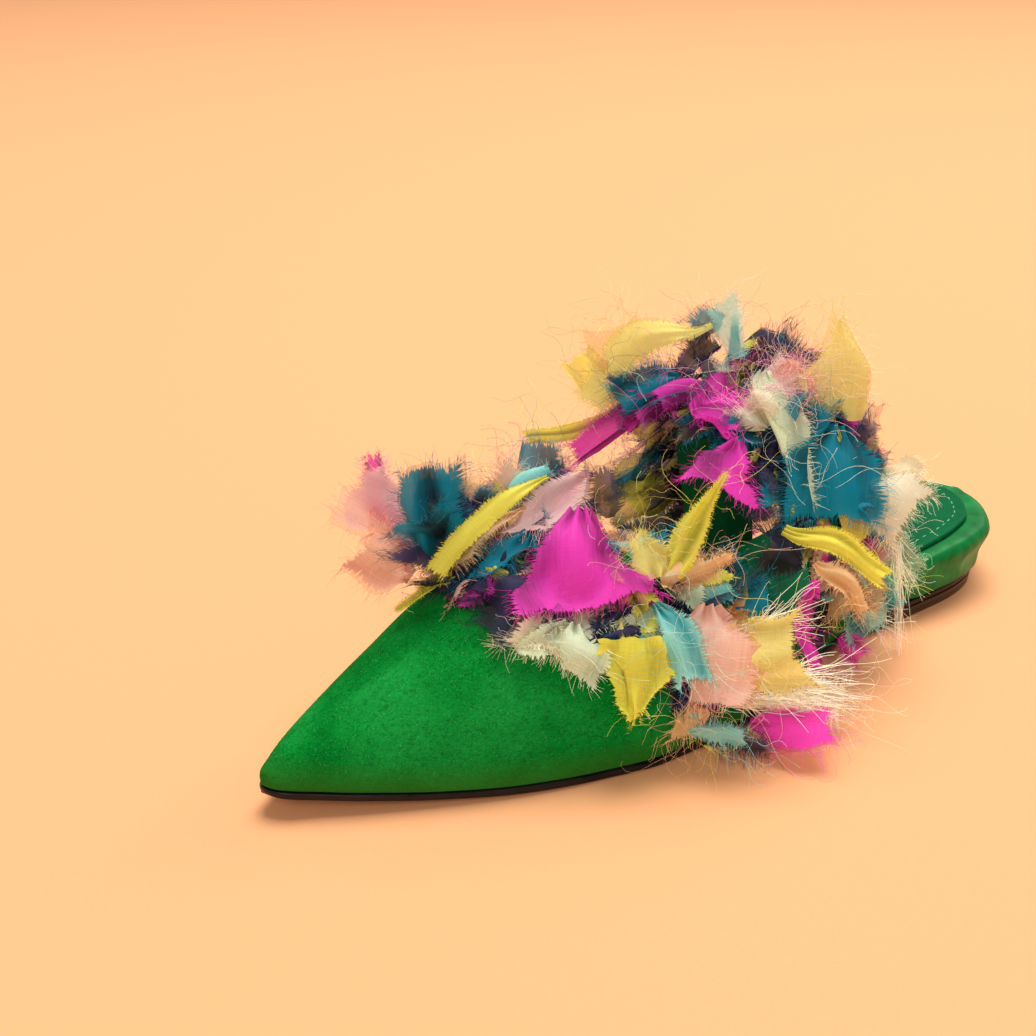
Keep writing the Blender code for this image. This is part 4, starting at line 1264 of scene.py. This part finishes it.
vamp_inner = scatter(30, vamp_spot, 17, 28, INNER_WEIGHTS, 5, (INNER_FROM, 172.0), flat=False)
ground = scatter(110, vamp_spot, 10, 16, GROUND_WEIGHTS, 6)
filling = scatter(120, vamp_spot, 8, 15, FILL_WEIGHTS, 7)
vamp_cloths = dress("vamp", together(VAMP_STRIPS, vamp_inner), together(ground, filling), 100,
                    VAMP_TAILS)
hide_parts("vamp_trim")

# ==== Trim of the instep strap ====
# The same torn strips cover the whole strap. The longest stand up from its top or fall over the gap in
# front of it and over the side of the heel.

STRAP_STRIPS = {
    "magenta": [(150, 92, -97, -2, 17, 20, 20, 10, -0.1, 0.2, 0.3, 0.7, 0, 6),
        (160, 100, -60, -8, 14, 16, 20, 20, -0.1, 0.2, 0.15, 0.5, 0, 4),
        (153, 110, 17, -1, 34, 17, 0, -79, 0.1, 0.2, 0.35, 0.7, 0, 9),
        (149, 70, -23, -16, 21, 24, 10, 12, -0.2, 0.3, 0.3, 0.65, 0, 6),
        (153, 24, -46, 10, 27, 11, 0, -48, -0.2, 0, 0.45, 0.75, 0, 8),
        (171, 4, -92, 55, 12, 10, 0, -41, 0.2, 0, 0.4, 0.6, 0.2, 6),
        (149, 110, 19, 5, 12, 14, 40, -89, 0, 0.2, 0.1, 0.4, 0.1, 6)],
    "pink": [(165, 80, -136, 13, 11, 13, 20, -38, 0, 0.1, 0.6, 0.95, 0.2, 6),
        (148, 130, 63, -33, 10, 12, 40, -36, 0.2, 0, 0.4, 0.7, 0.3, 6)],
    "coral": [(174, 78, -77, -11, 10, 12, 40, -11, 0.2, 0, 0.3, 0.6, 0.3, 6)],
    "peach": [(148, 114, -172, 83, 18, 16, 15, -85, 0.0, 0.2, 0.7, 0.9, 0.7, 18),
        (157, 26, -81, 40, 21, 8, 0, -31, 0.5, 0, 0.5, 0.7, 0, 6),
        (175, 16, -63, 22, 13, 18, 0, -49, 0.1, 0.3, 0.15, 0.35, 0.45, 4)],
    "yellow": [(173, 104, 20, 6, 48, 10, 5, 83, 0, 0.1, 0.8, 1.1, 0, 18),
        (180, 52, 125, 13, 31, 24, 0, 27, 1, 0, 0.9, 1.1, 0.1, 4)],
    "cream": [(159, 66, 94, 13, 10, 12, 0, 21, 0.2, 0, 0.3, 0.6, 0.3, 6),
        (184, 32, -103, 50, 16, 19, 15, -23, 0, 0.2, 0.5, 0.85, 0.1, 6)],
    "lime": [(148, 126, -67, 82, 22, 12, 60, -7, 0, 0, 0.45, 0.9, 0.4, 18),
        (148, 126, 4, 12, 32, 6, -10, -24, 0.2, 0, 0.2, 0.5, 0, 18),
        (166, 140, 25, 16, 14, 16, 25, -52, 0.2, 0, 0, 0.2, 0.3, 4),
        (157, 140, 34, 6, 18, 20, 40, -48, 0, 0.2, 0, 0.25, 0.35, 4),
        (191, 22, 6, -31, 24, 14, 20, -23, 0.3, 0.2, 0.45, 0.75, 0.1, 6),
        (148, 40, -98, 37, 34, 8, -8, -30, 0.3, 0, 0.55, 0.9, 0, 6)],
    "mint": [(168, 82, -53, -7, 37, 19, 45, -13, 0.1, 0, 0.5, 1, 0, 6),
        (201, 16, -108, 2, 22, 9, 0, -15, 0.1, 0.2, 0.1, 0.4, 0.5, 4),
        (196, 30, -114, 48, 11, 16, 0, -14, 0, 0.2, 0.5, 0.8, 0.4, 4)],
    "aqua": [(168, 92, 131, 60, 21, 11, 0, -19, -0.3, 0.2, 0.7, 1, 0.55, 4),
        (181, 16, -63, 22, 21, 18, 0, -48, 0, 0.3, 0.15, 0.4, 0.5, 4),
        (174, 158, 60, -5, 11, 14, 40, -40, 0.1, 0, 0.1, 0.3, 0.4, 4)],
    "petrol": [(156, 102, 22, 13, 20, 12, 5, 90, 0.1, 0, 0.35, 0.6, 0.05, 12),
        (177, 52, -38, 7, 28, 28, 15, -16, 0, 0.1, 0.3, 1, 0, 8),
        (172, 42, -68, 36, 15, 17, 0, -37, 0.9, 0, 0.8, 1.1, 0, 8),
        (168, 58, 159, 31, 8, 16, 0, 9, 0, 0.2, 0.3, 0.6, 0.2, 4),
        (156, 46, -13, -13, 11, 14, 40, -17, 0.1, 0, 0.1, 0.4, 0.2, 4),
        (179, 106, 24, 11, 10, 8, 0, 87, 0.2, 0, 0.2, 0.5, 0.2, 18)],
    "navy": [(175, 104, -112, -22, 25, 9, 30, -40, 0.5, 0, 0.1, 0.5, 0, 4),
        (163, 108, 20, 34, 16, 14, 0, 86, 0.2, 0, 0, 0.15, 0.05, 6),
        (171, 106, 27, 55, 10, 14, 0, 80, 0.2, 0, 0, 0.15, 0.05, 9),
        (156, 26, 48, 3, 19, 12, 0, -15, 0.2, 0, 0, 0.2, 0, 2),
        (160, 116, 150, 12, 20, 20, 0, 60, 0, 0, 0, 0.2, 0, 4),
        (181, 148, 178, 0, 27, 20, 0, 0, 0, 0, 0, 0.2, 0, 2),
        (182, 160, 180, 0, 27, 22, 0, 0, 0, 0, 0, 0.2, 0, 2),
        (184, 172, -176, 0, 25, 20, 0, 0, 0, 0, 0, 0.2, 0, 2)],
}
STRAP_TAILS = (
    (204, 12, 3, -69, 25, 18, 1.6, 0, 30), (204, 12, 3, -62, 22, 36, 1.4, 8, 18),
    (180, 6, 6, -150, 50, 14, 5.0, 0, 20),
)


def strap_spot(angle, share, draw):
    front, back = strap_front(angle), strap_back(angle)
    return front + SEAM_IN + (back - front - 2 * SEAM_IN) * share, headings(share < 0.45, draw)


strap_inner = scatter(28, strap_spot, 16, 27, INNER_WEIGHTS, 9, (INNER_FROM, 172.0), flat=False)
ground = scatter(100, strap_spot, 10, 16, GROUND_WEIGHTS, 10)
filling = scatter(120, strap_spot, 8, 15, FILL_WEIGHTS, 11)
strap_cloths = dress("strap", together(STRAP_STRIPS, strap_inner), together(ground, filling), 200,
                     STRAP_TAILS)
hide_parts("strap_trim")
